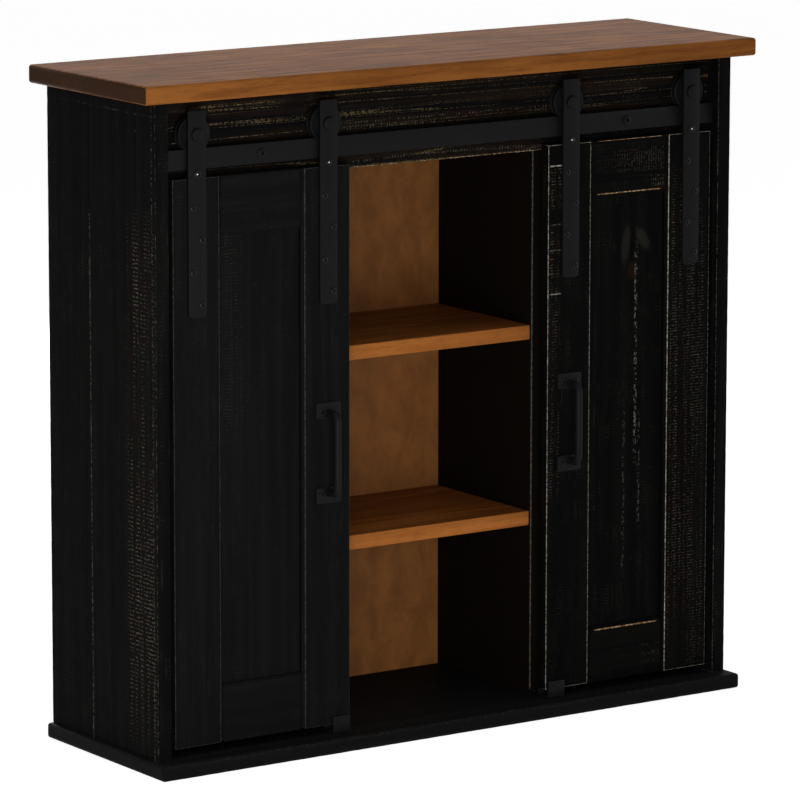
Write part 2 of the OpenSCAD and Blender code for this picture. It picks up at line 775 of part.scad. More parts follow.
top_board();
base_board();
left_side_panel();
right_side_panel();
left_divider();
right_divider();
back_panel();
header_board();
hanging_rail();
upper_shelf();
lower_shelf();
left_shelf();
right_shelf();
shelf_pins();
barn_rail();
rail_spacers();
rail_bolts();
left_floor_guide();
right_floor_guide();
guide_screws();
base_screws();
top_dowels();
header_dowels();
hanging_rail_dowels();
back_nails();
left_door_outer_stile();
left_door_inner_stile();
left_door_top_rail();
left_door_bottom_rail();
left_door_panel();
left_door_outer_strap();
left_door_inner_strap();
left_door_strap_screws();
left_door_axle_bolts();
left_door_axle_washers();
left_door_lift_pins();
left_door_pull();
left_door_pull_screws();
left_outer_wheel();
left_inner_wheel();
right_door_outer_stile();
right_door_inner_stile();
right_door_top_rail();
right_door_bottom_rail();
right_door_panel();
right_door_outer_strap();
right_door_inner_strap();
right_door_strap_screws();
right_door_axle_bolts();
right_door_axle_washers();
right_door_lift_pins();
right_door_pull();
right_door_pull_screws();
right_outer_wheel();
right_inner_wheel();
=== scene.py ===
"""Accent cabinet with two sliding barn doors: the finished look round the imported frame.

Every board, bar and fixing that shows is built again from its own box in the frame, with worn arrises,
eased edges, recessed screw heads and procedural finishes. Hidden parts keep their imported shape.
Lengths are in metres, X runs along the width, Y from the front to the back and Z up.
"""

import functools
import json
import logging
import math
from dataclasses import dataclass, replace
from enum import Enum
from typing import Iterable, Optional, Sequence, Union

import bmesh
import bpy
from mathutils import Matrix, Vector, noise


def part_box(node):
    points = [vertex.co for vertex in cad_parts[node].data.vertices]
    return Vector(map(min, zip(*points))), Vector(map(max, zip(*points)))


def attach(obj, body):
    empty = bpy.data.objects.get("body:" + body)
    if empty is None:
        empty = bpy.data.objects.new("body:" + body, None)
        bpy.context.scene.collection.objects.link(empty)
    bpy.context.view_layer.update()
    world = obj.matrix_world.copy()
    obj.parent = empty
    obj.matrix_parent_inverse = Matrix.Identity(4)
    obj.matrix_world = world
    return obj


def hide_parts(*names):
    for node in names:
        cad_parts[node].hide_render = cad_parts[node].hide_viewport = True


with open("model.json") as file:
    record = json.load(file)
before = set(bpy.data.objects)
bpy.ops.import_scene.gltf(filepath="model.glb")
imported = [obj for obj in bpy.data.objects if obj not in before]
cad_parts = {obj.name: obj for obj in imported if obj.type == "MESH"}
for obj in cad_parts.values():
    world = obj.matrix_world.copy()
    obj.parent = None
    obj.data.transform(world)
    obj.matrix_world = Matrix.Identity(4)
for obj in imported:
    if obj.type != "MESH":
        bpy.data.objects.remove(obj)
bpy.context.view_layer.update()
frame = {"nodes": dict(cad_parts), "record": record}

LOG = logging.getLogger("cabinet")
MM = 0.001
# The vertex attribute that says how worn an arris is, and that marks a joint's narrow wall for painted shade.
ARRIS = "arris"
# The play that keeps two faces from lying in one plane.
HAIR = 0.02 * MM
# A head's underside stands this much proud of what it is driven into.
SEAT = 0.01 * MM
WHITE = "#ffffff"
# The period of a wave texture of scale 1.
WAVE_PERIOD = 0.31416
BODY_OF = {node: body for body, nodes in frame["record"]["behaviour"]["bodies"].items() for node in nodes}

Mesh = bmesh.types.BMesh
Socket = bpy.types.NodeSocket
Colour = Union[str, Socket]
# How strongly something shows: a number, an output, or an output with the two levels that it rises between.
Share = Union[float, Socket, tuple[Socket, float, float]]
Point = tuple[float, float]
Triple = tuple[float, float, float]


class Axis(Enum):
    """The direction that a board's grain or length runs in."""

    X = 0
    Y = 1
    Z = 2


class Side(Enum):
    """One of the two doors, with the sign of its side."""

    LEFT = -1
    RIGHT = 1

    @property
    def word(self) -> str:
        """The side's name as the frame's nodes and bodies use it."""
        return self.name.lower()


def linear(hex_colour: str) -> tuple[float, float, float, float]:
    """Turns an sRGB hex colour into the linear values that a shader takes.

    Args:
        hex_colour: The colour as "#rrggbb".

    Returns:
        Linear red, green and blue, with alpha 1.
    """
    parts = [int(hex_colour[i:i + 2], 16) / 255 for i in (1, 3, 5)]
    return tuple(c / 12.92 if c <= 0.04045 else ((c + 0.055) / 1.055) ** 2.4 for c in parts) + (1.0,)


@dataclass(frozen=True)
class Place:
    """A part of a board where the paint is worn: its middle and how far it reaches, in millimetres."""

    middle: Triple
    reach: Triple
    gone: float = 1.0


class Tree:
    """The nodes of a material or of the world."""

    def __init__(self, owner: Union[bpy.types.Material, bpy.types.World]) -> None:
        """Empties the owner's node tree.

        Args:
            owner: What the nodes belong to.
        """
        owner.use_nodes = True
        self.nodes = owner.node_tree.nodes
        self.links = owner.node_tree.links
        self.nodes.clear()

    def add(self, kind: str, settings: Optional[dict] = None,
            output: Union[int, str] = 0) -> Optional[Socket]:
        """Adds a node with its settings and links.

        Args:
            kind: The node's type name without its "ShaderNode" start.
            settings: By the name of a property of the node, its value. By the name or number of an input, its
                value, its hex colour or the output that is linked to it.
            output: The name or number of the output that is wanted.

        Returns:
            That output, or None for a node that has none.
        """
        node = self.nodes.new("ShaderNode" + kind)
        for key, value in (settings or {}).items():
            if isinstance(value, Socket):
                self.links.new(value, node.inputs[key])
            elif isinstance(key, str) and key in node.bl_rna.properties:
                setattr(node, key, value)
            else:
                node.inputs[key].default_value = linear(value) if isinstance(value, str) else value
        return node.outputs[output] if node.outputs else None


class Painter(Tree):
    """One finish on a material of its own: patterns of real sizes, layers of colour and the shader."""

    def __init__(self, name: str, grain: Axis = Axis.Z, shift: Triple = (0.0, 0.0, 0.0)) -> None:
        """Starts an empty material.

        Args:
            name: The material's name.
            grain: The axis along which patterns are drawn out.
            shift: The board's own place in every pattern.
        """
        self.material = bpy.data.materials.new(name)
        super().__init__(self.material)
        self.spot = self.add("TexCoord", output="Object")
        self.grain = grain
        self.shift = shift

    def speckle(self, size: float, detail: float = 2.0, rough: float = 0.5, twist: float = 0.0,
                drawn: float = 1.0) -> Socket:
        """A pattern of soft spots of a real size.

        Args:
            size: How wide the spots are.
            detail: How many finer layers there are.
            rough: How strong the finer layers are.
            twist: How much the spots are bent.
            drawn: How many times longer they are along the grain.

        Returns:
            The pattern, from 0 to 1.
        """
        scale = [1 / drawn if axis is self.grain else 1.0 for axis in Axis]
        spot = self.add("Mapping", {"Location": self.shift, "Scale": scale, "Vector": self.spot})
        return self.add("TexNoise", {"Scale": 1 / size, "Detail": detail, "Roughness": rough,
                                     "Distortion": twist, "Vector": spot})

    def share(self, *parts: Share) -> Share:
        """How strongly something shows that depends on several things at once.

        Args:
            parts: What it depends on. Where an output comes with two levels, it counts as 0 at the first and
                as 1 at the second, with a smooth change between them.

        Returns:
            Their product.
        """
        total = None
        for part in parts:
            if isinstance(part, tuple):
                span = {"Value": part[0], "From Min": part[1], "From Max": part[2]}
                part = self.add("MapRange", {"interpolation_type": "SMOOTHSTEP", **span})
            total = part if total is None else self.add("Math", {"operation": "MULTIPLY", 0: total, 1: part})
        return total

    def lay(self, below: Colour, above: Colour, *parts: Share) -> Socket:
        """Lays one colour over the colour so far, as strongly as the share of the parts says."""
        # The colours of this node go in at 6 and 7 and come out at 2.
        return self.add("Mix", {"data_type": "RGBA", 0: self.share(*parts), 6: below, 7: above}, 2)

    def around(self, places: Iterable[Place], ragged: Socket) -> Share:
        """How worn each point is by a list of places.

        Args:
            places: The worn places.
            ragged: A small offset that frays their borders.

        Returns:
            0 far from them all, up to 1 within one.
        """
        total = 0.0
        for place in places:
            spot = self.spot
            for operation, sizes in (("SUBTRACT", place.middle), ("DIVIDE", place.reach), ("ABSOLUTE", ())):
                settings = {1: [size * MM for size in sizes]} if sizes else {}
                spot = self.add("VectorMath", {"operation": operation, 0: spot, **settings})
            far, *others = self.add("SeparateXYZ", {0: spot}).node.outputs
            for operation, other in zip(("MAXIMUM", "MAXIMUM", "ADD"), (*others, ragged)):
                far = self.add("Math", {"operation": operation, 0: far, 1: other})
            level = self.share((far, 1.12, 0.8), place.gone)
            total = self.add("Math", {"operation": "MAXIMUM", 0: total, 1: level})
        return total

    def finish(self, colour: Socket, rough: Socket, height: Socket, depth: float,
               gloss: Optional[float] = None) -> bpy.types.Material:
        """Ends the tree with its shader.

        Args:
            colour: The base colour.
            rough: The roughness.
            height: The relief, from 0 to 1.
            depth: What a height of 1 is in metres.
            gloss: The specular level, or None for a metal.

        Returns:
            The finished material.
        """
        fixed = {"Metallic": 1.0} if gloss is None else {"IOR": 1.5, "Specular IOR Level": gloss}
        relief = self.add("Bump", {"Strength": 1.0, "Distance": depth, "Height": height})
        linked = {"Base Color": colour, "Roughness": rough, "Normal": relief}
        self.add("OutputMaterial", {"Surface": self.add("BsdfPrincipled", {**fixed, **linked})})
        return self.material


@dataclass(frozen=True)
class BlackPaintedPine:
    """Pine, rough sawn, brushed with matte black paint and rubbed through."""

    # The eye gets an even soot black with fine lines where the paint sank into the grain, rows of small
    # tan, olive and grey flecks where it was rubbed off the saw marks, bare wood along the arrises, and
    # painted shade in the narrow walls of the joints.
    name: str
    grain: Axis = Axis.Z
    seed: float = 0.0
    rub: float = 0.5
    saw: float = 0.1
    streak: float = 0.3
    lines: float = 0.0
    flecked: tuple[Place, ...] = ()
    stroked: tuple[Place, ...] = ()
    knot: Optional[Point] = None
    paint: str = "#0b0b0c"
    paint_thin: str = "#121211"
    dust: str = "#040404"
    # The painted shade in the narrow walls of the joints.
    sunk: str = "#3a3733"
    brown: str = "#52311a"
    olive: str = "#403f22"
    grey: str = "#6a665e"
    gold: str = "#7b6a4b"
    bare: str = "#9c8f7b"
    bare_deep: str = "#5a3d20"
    grain_w: float = 1.3 * MM
    grain_drawn: float = 34
    cell_w: float = 2.1 * MM
    cell_drawn: float = 1.6
    crumb_w: float = 2.6 * MM
    saw_pitch: float = 3.3 * MM
    column_w: float = 4.2 * MM
    column_drawn: float = 40
    patch_w: float = 26 * MM
    # How wide each set of growth rings is, and how strongly it shows.
    rings: tuple[Point, ...] = ((14 * MM, 1.0), (7 * MM, 0.7))
    ring_drawn: float = 90
    ring_patch_w: float = 45 * MM
    relief: float = 0.35 * MM
    gloss: float = 0.009

    def build(self) -> bpy.types.Material:
        """Lays paint, streaks, flecks, lines, strokes, knot, painted joint shade and bare wood over each
        other.

        Returns:
            The material.
        """
        p = Painter(self.name, self.grain, (self.seed * 0.37, self.seed * 0.61, self.seed * 0.83))
        fine = p.speckle(self.grain_w, 3, 0.6, drawn=self.grain_drawn)
        wide = p.speckle(self.grain_w * 7, 2, 0.5, 0.4, drawn=self.grain_drawn)
        patch = p.speckle(self.patch_w)
        crumbs = p.speckle(self.crumb_w, 3, 0.7)
        cells = p.speckle(self.cell_w, 2, 0.6, drawn=self.cell_drawn)
        columns = p.speckle(self.column_w, 1, 0.4, drawn=self.column_drawn)
        waves = p.add("TexWave", {
            "bands_direction": self.grain.name, "Scale": WAVE_PERIOD / self.saw_pitch, "Distortion": 2.4,
            "Detail": 1.0, "Detail Scale": 1.5,
            "Vector": p.add("Mapping", {"Location": p.shift, "Vector": p.spot})}, "Fac")
        ragged = p.add("Math", {"operation": "MULTIPLY_ADD", 0: crumbs, 1: 0.5, 2: -0.25})
        worn = p.around(self.flecked, ragged)
        tone = p.lay(self.olive, self.brown, (patch, 0.44, 0.56))
        grid = p.share((waves, 0.6, 0.95), (columns, 0.45, 0.57))
        some = p.add("Math", {"operation": "MAXIMUM", 0: worn, 1: p.share((patch, 0.5, 0.62), self.saw)})
        flecks = p.share(grid, (cells, 0.44, 0.56), some)
        ink = p.lay(self.paint, self.paint_thin, (wide, 0.35, 0.7))
        ink = p.lay(ink, self.sunk, (fine, 0.58, 0.76), (patch, 0.4, 0.62), self.streak)
        ink = p.lay(ink, tone, (cells, 0.44, 0.62), worn, 0.12)
        ink = p.lay(ink, p.lay(tone, self.grey, (crumbs, 0.38, 0.52)), flecks)
        ink = self.growth_lines(p, ink, crumbs)
        ink = p.lay(ink, self.bare, (crumbs, 0.4, 0.5), p.around(self.stroked, ragged))
        if self.knot:
            ink = self.knotted(p, ink, crumbs, cells)
        arris = p.add("Attribute", {"attribute_name": ARRIS}, "Fac")
        # Painted shade: a joint's narrow wall, marked -1, is darkened as if it lay in shadow.
        ink = p.lay(ink, self.dust, (arris, -0.1, -0.8))
        frayed = p.add("Math", {"operation": "MULTIPLY_ADD", 0: crumbs, 1: 0.9, 2: -0.45})
        frayed = p.add("Math", {"operation": "ADD", 0: arris, 1: frayed})
        rubbed = p.share((frayed, 1.2 - 0.4 * self.rub, 1.3 - 0.4 * self.rub))
        colour = p.lay(ink, p.lay(self.bare_deep, self.bare, (cells, 0.42, 0.6)), rubbed)
        dull = p.add("Math", {"operation": "MAXIMUM", 0: rubbed, 1: flecks})
        rough = p.add("Math", {"operation": "MULTIPLY_ADD", 0: dull, 1: 0.2, 2: 0.6})
        height = p.add("Math", {"operation": "MULTIPLY_ADD", 0: grid, 1: -0.25, 2: p.share(fine, 0.6)})
        return p.finish(colour, rough, height, self.relief, self.gloss)

    def growth_lines(self, p: Painter, ink: Socket, crumbs: Socket) -> Socket:
        """Golden broken lines where hard growth rings stand proud of the paint.

        Args:
            p: The material's painter.
            ink: The colour so far.
            crumbs: Small spots that break the lines.

        Returns:
            The colour with its lines.
        """
        if self.lines <= 0:
            return ink
        here = p.share((p.speckle(self.ring_patch_w, 1, drawn=2), 0.28, 0.5))
        for width, share in self.rings:
            ring = p.speckle(width, 1, 0.4, drawn=self.ring_drawn)
            ring = p.add("Math", {"operation": "SUBTRACT", 0: ring, 1: 0.5})
            ridge = p.add("Math", {"operation": "ABSOLUTE", 0: ring})
            ink = p.lay(ink, self.gold, (ridge, 0.01, 0.003), (crumbs, 0.46, 0.54), here, self.lines * share)
        return ink

    def knotted(self, p: Painter, ink: Socket, crumbs: Socket, cells: Socket) -> Socket:
        """Two pale lobes beside a knot, a brown heart below it and three lines of flecks down the grain.

        Args:
            p: The material's painter.
            ink: The colour so far.
            crumbs: Small spots that fray the shapes.
            cells: Small spots that break the lines.

        Returns:
            The colour with its knot.
        """
        x, z = self.knot
        # The place of a shape's middle from the knot, its reach, its lean, its share and its colour.
        for dx, dz, wide, tall, lean, share, colour in (
                (-11, -12, 6.5, 22, 8, 0.5, "#2c2a27"), (10, -8, 7, 16, -36, 0.5, "#2e2d27"),
                (-2, -12, 4.5, 18, 6, 0.85, "#070707"), (-3, -40, 7, 10, 0, 0.4, "#2f1b0e")):
            spot = p.add("Mapping", {
                "vector_type": "TEXTURE", "Location": ((x + dx) * MM, 0, (z + dz) * MM),
                "Rotation": (0, math.radians(lean), 0), "Scale": (wide * MM, 1, tall * MM), "Vector": p.spot})
            far = p.add("VectorMath", {"operation": "LENGTH", 0: spot}, "Value")
            far = p.add("Math", {"operation": "MULTIPLY_ADD", 0: crumbs, 1: 1.1, 2: far})
            ink = p.lay(ink, colour, (far, 1.65, 1.05), share)
        lines = tuple(Place((x + dx, 0, z + dz), (wide, 1000, tall), gone) for dx, dz, wide, tall, gone in (
            (2, -125, 1.8, 105, 0.8), (-12, -262, 1.5, 85, 0.35), (7, -245, 1.5, 60, 0.35)))
        ragged = p.add("Math", {"operation": "SUBTRACT", 0: crumbs, 1: 0.5})
        return p.lay(ink, self.grey, (cells, 0.52, 0.6), p.around(lines, ragged))


@dataclass(frozen=True)
class StainedPine:
    """Pine boards, planed, wiped with a warm brown stain and sealed with satin lacquer."""

    # The eye gets orange tan with darker grain lines along the board, stronger on its faces than on its
    # edges, cloudy stain, darker end grain, a soft sheen and, where it is asked for, painted shade on the
    # flat faces.
    name: str
    seed: float = 0.0
    light: str = "#98602f"
    dark: str = "#76471f"
    line: str = "#4c2a12"
    end: str = "#1e1007"
    ring_w: float = 5 * MM
    # Real resin canals are some 0.2 mm wide, too fine to show, so their lines are drawn this coarse.
    pore_w: float = 0.9 * MM
    crack_w: float = 13 * MM
    cloud_w: float = 90 * MM
    edge_share: float = 0.5
    face_share: float = 1.5
    # How strongly painted shade darkens the flat upper and lower faces.
    face_stain: float = 0.0
    relief: float = 0.08 * MM
    gloss: float = 0.026

    def build(self) -> bpy.types.Material:
        """Lays clouds, painted shade on the flat faces, pores, cracks and end grain over the growth rings.

        Returns:
            The material.
        """
        p = Painter(self.name, Axis.X, (self.seed * 0.41, self.seed * 0.23, self.seed * 0.67))
        rings = p.speckle(self.ring_w * 2.2, 3, 0.55, 0.6, drawn=16)
        pores = p.speckle(self.pore_w, 3, 0.7, drawn=18)
        cloud = p.speckle(self.cloud_w, 3, drawn=2)
        crack = p.speckle(self.crack_w, 4, 0.6, 0.8, drawn=9)
        ways = p.add("SeparateXYZ", {0: p.add("TexCoord", output="Normal")}).node.outputs
        across, up = (p.add("Math", {"operation": "ABSOLUTE", 0: ways[axis]}) for axis in "XZ")
        flat = p.share((up, 0.5, 0.9))
        contrast = p.add("Math", {"operation": "MULTIPLY_ADD", 0: flat, 1: self.face_share - self.edge_share,
                                  2: self.edge_share})
        ring = p.add("Math", {"operation": "SUBTRACT", 0: p.share((rings, 0.36, 0.66)), 1: 0.5})
        ring = p.add("Math", {"operation": "MULTIPLY_ADD", 0: ring, 1: contrast, 2: 0.5})
        base = p.lay(self.light, self.dark, ring)
        base = p.lay(base, self.dark, (cloud, 0.38, 0.68), 0.5)
        # Painted shade: the flat faces are darkened, as where shelf tops lie in shade.
        base = p.lay(base, self.line, flat, self.face_stain)
        base = p.lay(base, self.line, (pores, 0.5, 0.72), 0.5)
        base = p.lay(base, self.line, (crack, 0.66, 0.76), 0.6)
        base = p.lay(base, self.end, (across, 0.6, 0.85), 0.85)
        rough = p.add("Math", {"operation": "MULTIPLY_ADD", 0: pores, 1: 0.2, 2: 0.33})
        height = p.add("Math", {"operation": "MULTIPLY_ADD", 0: pores, 1: -0.6, 2: rings})
        return p.finish(base, rough, height, self.relief, self.gloss)


@dataclass(frozen=True)
class BrownHardboard:
    """Hardboard, hot pressed and stained brown."""

    # The eye gets a flat tan board with soft cloudy blotches and fine fibre flecks.
    name: str = "brown_hardboard"
    light: str = "#885628"
    dark: str = "#70441e"
    fleck: str = "#5c3818"
    blotch_w: float = 20 * MM
    # Real fibres are some 0.1 mm wide, too fine to show, so bundles of them are drawn this coarse.
    fibre_w: float = 1.4 * MM
    relief: float = 0.05 * MM
    gloss: float = 0.3

    def build(self) -> bpy.types.Material:
        """Lays fibres over blotches.

        Returns:
            The material.
        """
        p = Painter(self.name)
        fibre = p.speckle(self.fibre_w, 3, 0.7)
        base = p.lay(self.light, self.dark, (p.speckle(self.blotch_w, 3, 0.6, 0.5, 1 / 0.6), 0.28, 0.75))
        base = p.lay(base, self.fleck, (fibre, 0.5, 0.75), 0.35)
        rough = p.add("Math", {"operation": "MULTIPLY_ADD", 0: fibre, 1: 0.2, 2: 0.5})
        return p.finish(base, rough, fibre, self.relief, self.gloss)


@dataclass(frozen=True)
class EvenFinish:
    """A finish that looks the same all over: fine marks make its relief and mix its two colours."""

    name: str
    first: str
    second: str
    mark_w: float
    smoothest: float
    rough_span: float
    relief: float
    gloss: Optional[float] = None
    grain: Axis = Axis.Z
    drawn: float = 1.0
    cloud_w: float = 0.0
    # The two levels of the marks between which the colour changes, where that isn't all of them.
    levels: Optional[Point] = None

    def build(self) -> bpy.types.Material:
        """Mixes the two colours by the marks, or by wide clouds where the finish has them.

        Returns:
            The material.
        """
        p = Painter(self.name, self.grain)
        marks = p.speckle(self.mark_w, drawn=self.drawn)
        cloud = p.speckle(self.cloud_w) if self.cloud_w else marks
        base = p.lay(self.first, self.second, (cloud, *self.levels) if self.levels else cloud)
        rough = p.add("Math", {"operation": "MULTIPLY_ADD", 0: cloud, 1: self.rough_span, 2: self.smoothest})
        return p.finish(base, rough, marks, self.relief, self.gloss)


@dataclass(frozen=True)
class PowderCoatedSteel(EvenFinish):
    """Flat mild steel with a satin black powder coat, sprayed and baked."""

    # The eye gets a slightly lighter, greyer black than the paint beside it, with a fine orange peel.
    name: str = "black_powder_coat"
    first: str = "#0f0f10"
    second: str = "#131314"
    mark_w: float = 1.8 * MM
    smoothest: float = 0.42
    rough_span: float = 0.1
    relief: float = 0.04 * MM
    gloss: Optional[float] = 0.06
    cloud_w: float = 22 * MM


@dataclass(frozen=True)
class BlackOxideSteel(EvenFinish):
    """Screw steel, turned, blackened with hot oxide and oiled."""

    # The eye gets near black heads whose rims and recesses catch small glints.
    name: str = "black_oxide"
    first: str = "#0b0b0b"
    second: str = "#29292a"
    # Real turning marks are some 0.1 mm apart, too fine to show, so they are drawn this coarse.
    mark_w: float = 0.8 * MM
    smoothest: float = 0.3
    rough_span: float = 0.15
    relief: float = 0.02 * MM


@dataclass(frozen=True)
class ZincPlatedSteel(EvenFinish):
    """Turned steel with bright zinc plate, as on small fixings."""

    # The eye gets a pale grey metal with faint turning marks, which are short along the fixing.
    name: str = "zinc_plate"
    first: str = "#d2d3d4"
    second: str = "#a9abab"
    # Real turning marks are some 0.1 mm apart, too fine to show, so they are drawn this coarse.
    mark_w: float = 0.5 * MM
    smoothest: float = 0.26
    rough_span: float = 0.16
    relief: float = 0.01 * MM
    grain: Axis = Axis.Y
    drawn: float = 0.25


@dataclass(frozen=True)
class TurnedBeech(EvenFinish):
    """Beech dowel rod, turned and left bare."""

    # The eye gets pale pink tan with short fine flecks.
    name: str = "turned_beech"
    first: str = "#d6b184"
    second: str = "#b48a5c"
    mark_w: float = 1.1 * MM
    smoothest: float = 0.5
    rough_span: float = 0.2
    relief: float = 0.03 * MM
    gloss: Optional[float] = 0.5
    drawn: float = 1 / 0.3
    levels: Optional[Point] = (0.5, 0.7)


Finish = Union[BlackPaintedPine, StainedPine, BrownHardboard, EvenFinish]


@functools.lru_cache(maxsize=None)
def material_of(finish: Finish) -> bpy.types.Material:
    """The material of a finish, built the first time it is asked for."""
    return finish.build()


def put(name: str, data: bpy.types.ID) -> bpy.types.Object:
    """Adds an object to the scene.

    Args:
        name: Its name.
        data: Its mesh, lamp or camera.

    Returns:
        The new object.
    """
    made = bpy.data.objects.new(name, data)
    bpy.context.scene.collection.objects.link(made)
    return made


def skin(bm: Mesh, rings: Sequence[Sequence[bmesh.types.BMVert]]) -> None:
    """Joins each ring of vertices to the next with faces and turns the faces outward.

    Args:
        bm: The mesh.
        rings: Rings of equally many vertices, or of one where the solid ends in a point.
    """
    turns = max(len(ring) for ring in rings)
    for first, second in zip(rings, rings[1:]):
        for i in range(turns):
            j = (i + 1) % turns
            places = (first, i), (first, j), (second, j), (second, i)
            bm.faces.new(list(dict.fromkeys(ring[place % len(ring)] for ring, place in places)))
    for cap in (rings[0][::-1], rings[-1]):
        if len(cap) > 1 and rings[0] is not rings[-1]:
            bm.faces.new(cap)
    bmesh.ops.recalc_face_normals(bm, faces=bm.faces)


def prism(outline: Sequence[Point], axis: Axis, start: float, end: float) -> Mesh:
    """A closed solid with one outline all along an axis.

    Args:
        outline: Points in the plane of the two other axes, in their order.
        axis: The direction of the length.
        start: Where the length begins.
        end: Where the length ends.

    Returns:
        The solid.
    """
    bm = bmesh.new()
    i = axis.value
    skin(bm, [[bm.verts.new((*p[:i], level, *p[i:])) for p in outline] for level in (start, end)])
    return bm


def arc(middle: Point, radius: float, start: float, end: float, steps: int) -> list[Point]:
    """Points along an arc.

    Args:
        middle: The arc's middle.
        radius: Its radius.
        start: The first point's angle in degrees.
        end: The last point's angle in degrees.
        steps: How many parts it has.

    Returns:
        The points, one more than there are parts.
    """
    turns = [math.radians(start + (end - start) * i / steps) for i in range(steps + 1)]
    return [(middle[0] + radius * math.cos(t), middle[1] + radius * math.sin(t)) for t in turns]


def rounded(low: Point, high: Point, radii: Sequence[float]) -> list[Point]:
    """A rectangle with rounded corners.

    Args:
        low: The lower left corner.
        high: The upper right corner.
        radii: The four radii, from the lower left corner on and anticlockwise.

    Returns:
        Its outline.
    """
    corners = ((low[0], low[1], 180), (high[0], low[1], 270), (high[0], high[1], 0), (low[0], high[1], 90))
    outline = []
    for r, (x, y, start) in zip(radii, corners):
        middle = (x + r if x == low[0] else x - r, y + r if y == low[1] else y - r)
        outline += arc(middle, r, start, start + 90, 5)
    return outline


def lathe(profile: Sequence[Point], centre: Vector, turns: int) -> Mesh:
    """Turns a profile round an axis along Y.

    Args:
        profile: Points of radius and depth along Y, from the front to the back. Where it doesn't start in
            the middle, it closes on itself round a bore.
        centre: Where radius 0 and depth 0 lie.
        turns: How many steps go round.

    Returns:
        The turned solid.
    """
    bm = bmesh.new()
    rings = []
    for radius, depth in profile:
        angles = [2 * math.pi * i / turns for i in range(turns if radius else 1)]
        rings.append([bm.verts.new(centre + Vector((radius * math.cos(t), depth, radius * math.sin(t))))
                      for t in angles])
    skin(bm, rings + rings[:1] if profile[0][0] else rings)
    return bm


def merged(parts: Iterable[Mesh]) -> Mesh:
    """Puts several solids into one mesh.

    Args:
        parts: The solids, which are freed.

    Returns:
        The mesh.
    """
    whole = bmesh.new()
    for part in parts:
        mesh = bpy.data.meshes.new("part")
        part.to_mesh(mesh)
        part.free()
        whole.from_mesh(mesh)
        bpy.data.meshes.remove(mesh)
    return whole


def bevel(bm: Mesh, edges: list[bmesh.types.BMEdge], reach: float, steps: int) -> None:
    """Cuts or rounds some edges of a solid.

    Args:
        bm: The solid.
        edges: The edges.
        reach: How far the cut reaches over each face.
        steps: 1 for a flat chamfer, more for a rounding.
    """
    bmesh.ops.bevel(bm, geom=edges, offset=reach, offset_type="OFFSET", segments=steps, profile=0.5,
                    affect="EDGES", clamp_overlap=True)


def ease(bm: Mesh, radius: float, least: float = 40.0) -> None:
    """Rounds every sharp outer edge a little, as sanding and paint do.

    Args:
        bm: The solid.
        radius: The rounding's radius.
        least: The angle in degrees above which an edge is sharp.
    """
    bevel(bm, [e for e in bm.edges if len(e.link_faces) == 2 and e.is_convex
               and e.calc_face_angle(0) > math.radians(least)], radius, 2)


def rim(bm: Mesh, width: float) -> None:
    """Marks the arrises: 1 on the rounded edges, 0 inside each wide face, -1 inside a joint's narrow wall,
    which gets painted shade.

    Args:
        bm: The eased solid.
        width: How far the wear reaches into a face.
    """
    # A face gets an inner rim from the first width on. Below the second one, a flat face is a joint's wall,
    # which gets painted shade.
    least_w, joint_w, thin = 1.5 * width, 4.5 * MM, 0.05 * MM
    layer = bm.verts.layers.float.new(ARRIS)
    for v in bm.verts:
        v[layer] = 1.0
    wide = []
    for f in bm.faces:
        spans = sorted(max(v.co[i] for v in f.verts) - min(v.co[i] for v in f.verts) for i in range(3))
        if spans[1] > least_w:
            wide.append((f, -1.0 if spans[1] < joint_w and spans[0] < thin else 0.0))
    faces = [f for f, _ in wide]
    bmesh.ops.inset_individual(bm, faces=faces, thickness=width, depth=0.0, use_even_offset=True)
    for f, mark in wide:
        for v in f.verts:
            v[layer] = mark


def slice_along(bm: Mesh, axis: Axis, step: float) -> None:
    """Divides the long edges of a solid, so that its arrises can waver.

    Args:
        bm: The solid.
        axis: The direction of its length.
        step: About how long the parts are.
    """
    i, long_share = axis.value, 0.6
    span = max(v.co[i] for v in bm.verts) - min(v.co[i] for v in bm.verts)
    long_edges = [e for e in bm.edges if abs(e.verts[0].co[i] - e.verts[1].co[i]) > span * long_share]
    bmesh.ops.subdivide_edges(bm, edges=long_edges, cuts=int(span / step), use_grid_fill=True)


def waver(bm: Mesh, depth: float, pitch: float, seed: float) -> None:
    """Moves the worn arrises in and out a little, always into the wood.

    Args:
        bm: The solid, with its arrises marked.
        depth: The deepest wear.
        pitch: The distance over which the wear changes.
        seed: Makes each board's wear its own.
    """
    # The noise runs from about -1 to 1. From this far below 0 on, it wears an arris that is marked as worn.
    below, least_mark = 0.25, 0.5
    layer = bm.verts.layers.float.get(ARRIS)
    bm.normal_update()
    for v in bm.verts:
        if v[layer] > least_mark:
            level = noise.noise(v.co / pitch + Vector((seed, seed * 2, seed * 3)))
            v.co -= v.normal * depth * max(0.0, level + below)


@dataclass
class Piece:
    """A finished mesh that stands for a node of the frame, on its body and with its finish's material."""

    node: str
    finish: Finish
    # The angle in degrees from which an edge shows as sharp.
    sharp_from: float = 35.0
    name: str = ""

    def place(self, bm: Mesh) -> None:
        """Turns the mesh into an object that rides on its body.

        Args:
            bm: The mesh, which is freed.
        """
        name = self.name or "dressed_" + self.node
        mesh = bpy.data.meshes.new(name)
        bm.to_mesh(mesh)
        bm.free()
        mesh.materials.append(material_of(self.finish))
        mesh.shade_smooth()
        mesh.set_sharp_from_angle(angle=math.radians(self.sharp_from))
        made = put(name, mesh)
        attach(made, BODY_OF[self.node])
        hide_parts(self.node)
        LOG.info("built %s with %d faces on %s", name, len(mesh.polygons), BODY_OF[self.node])


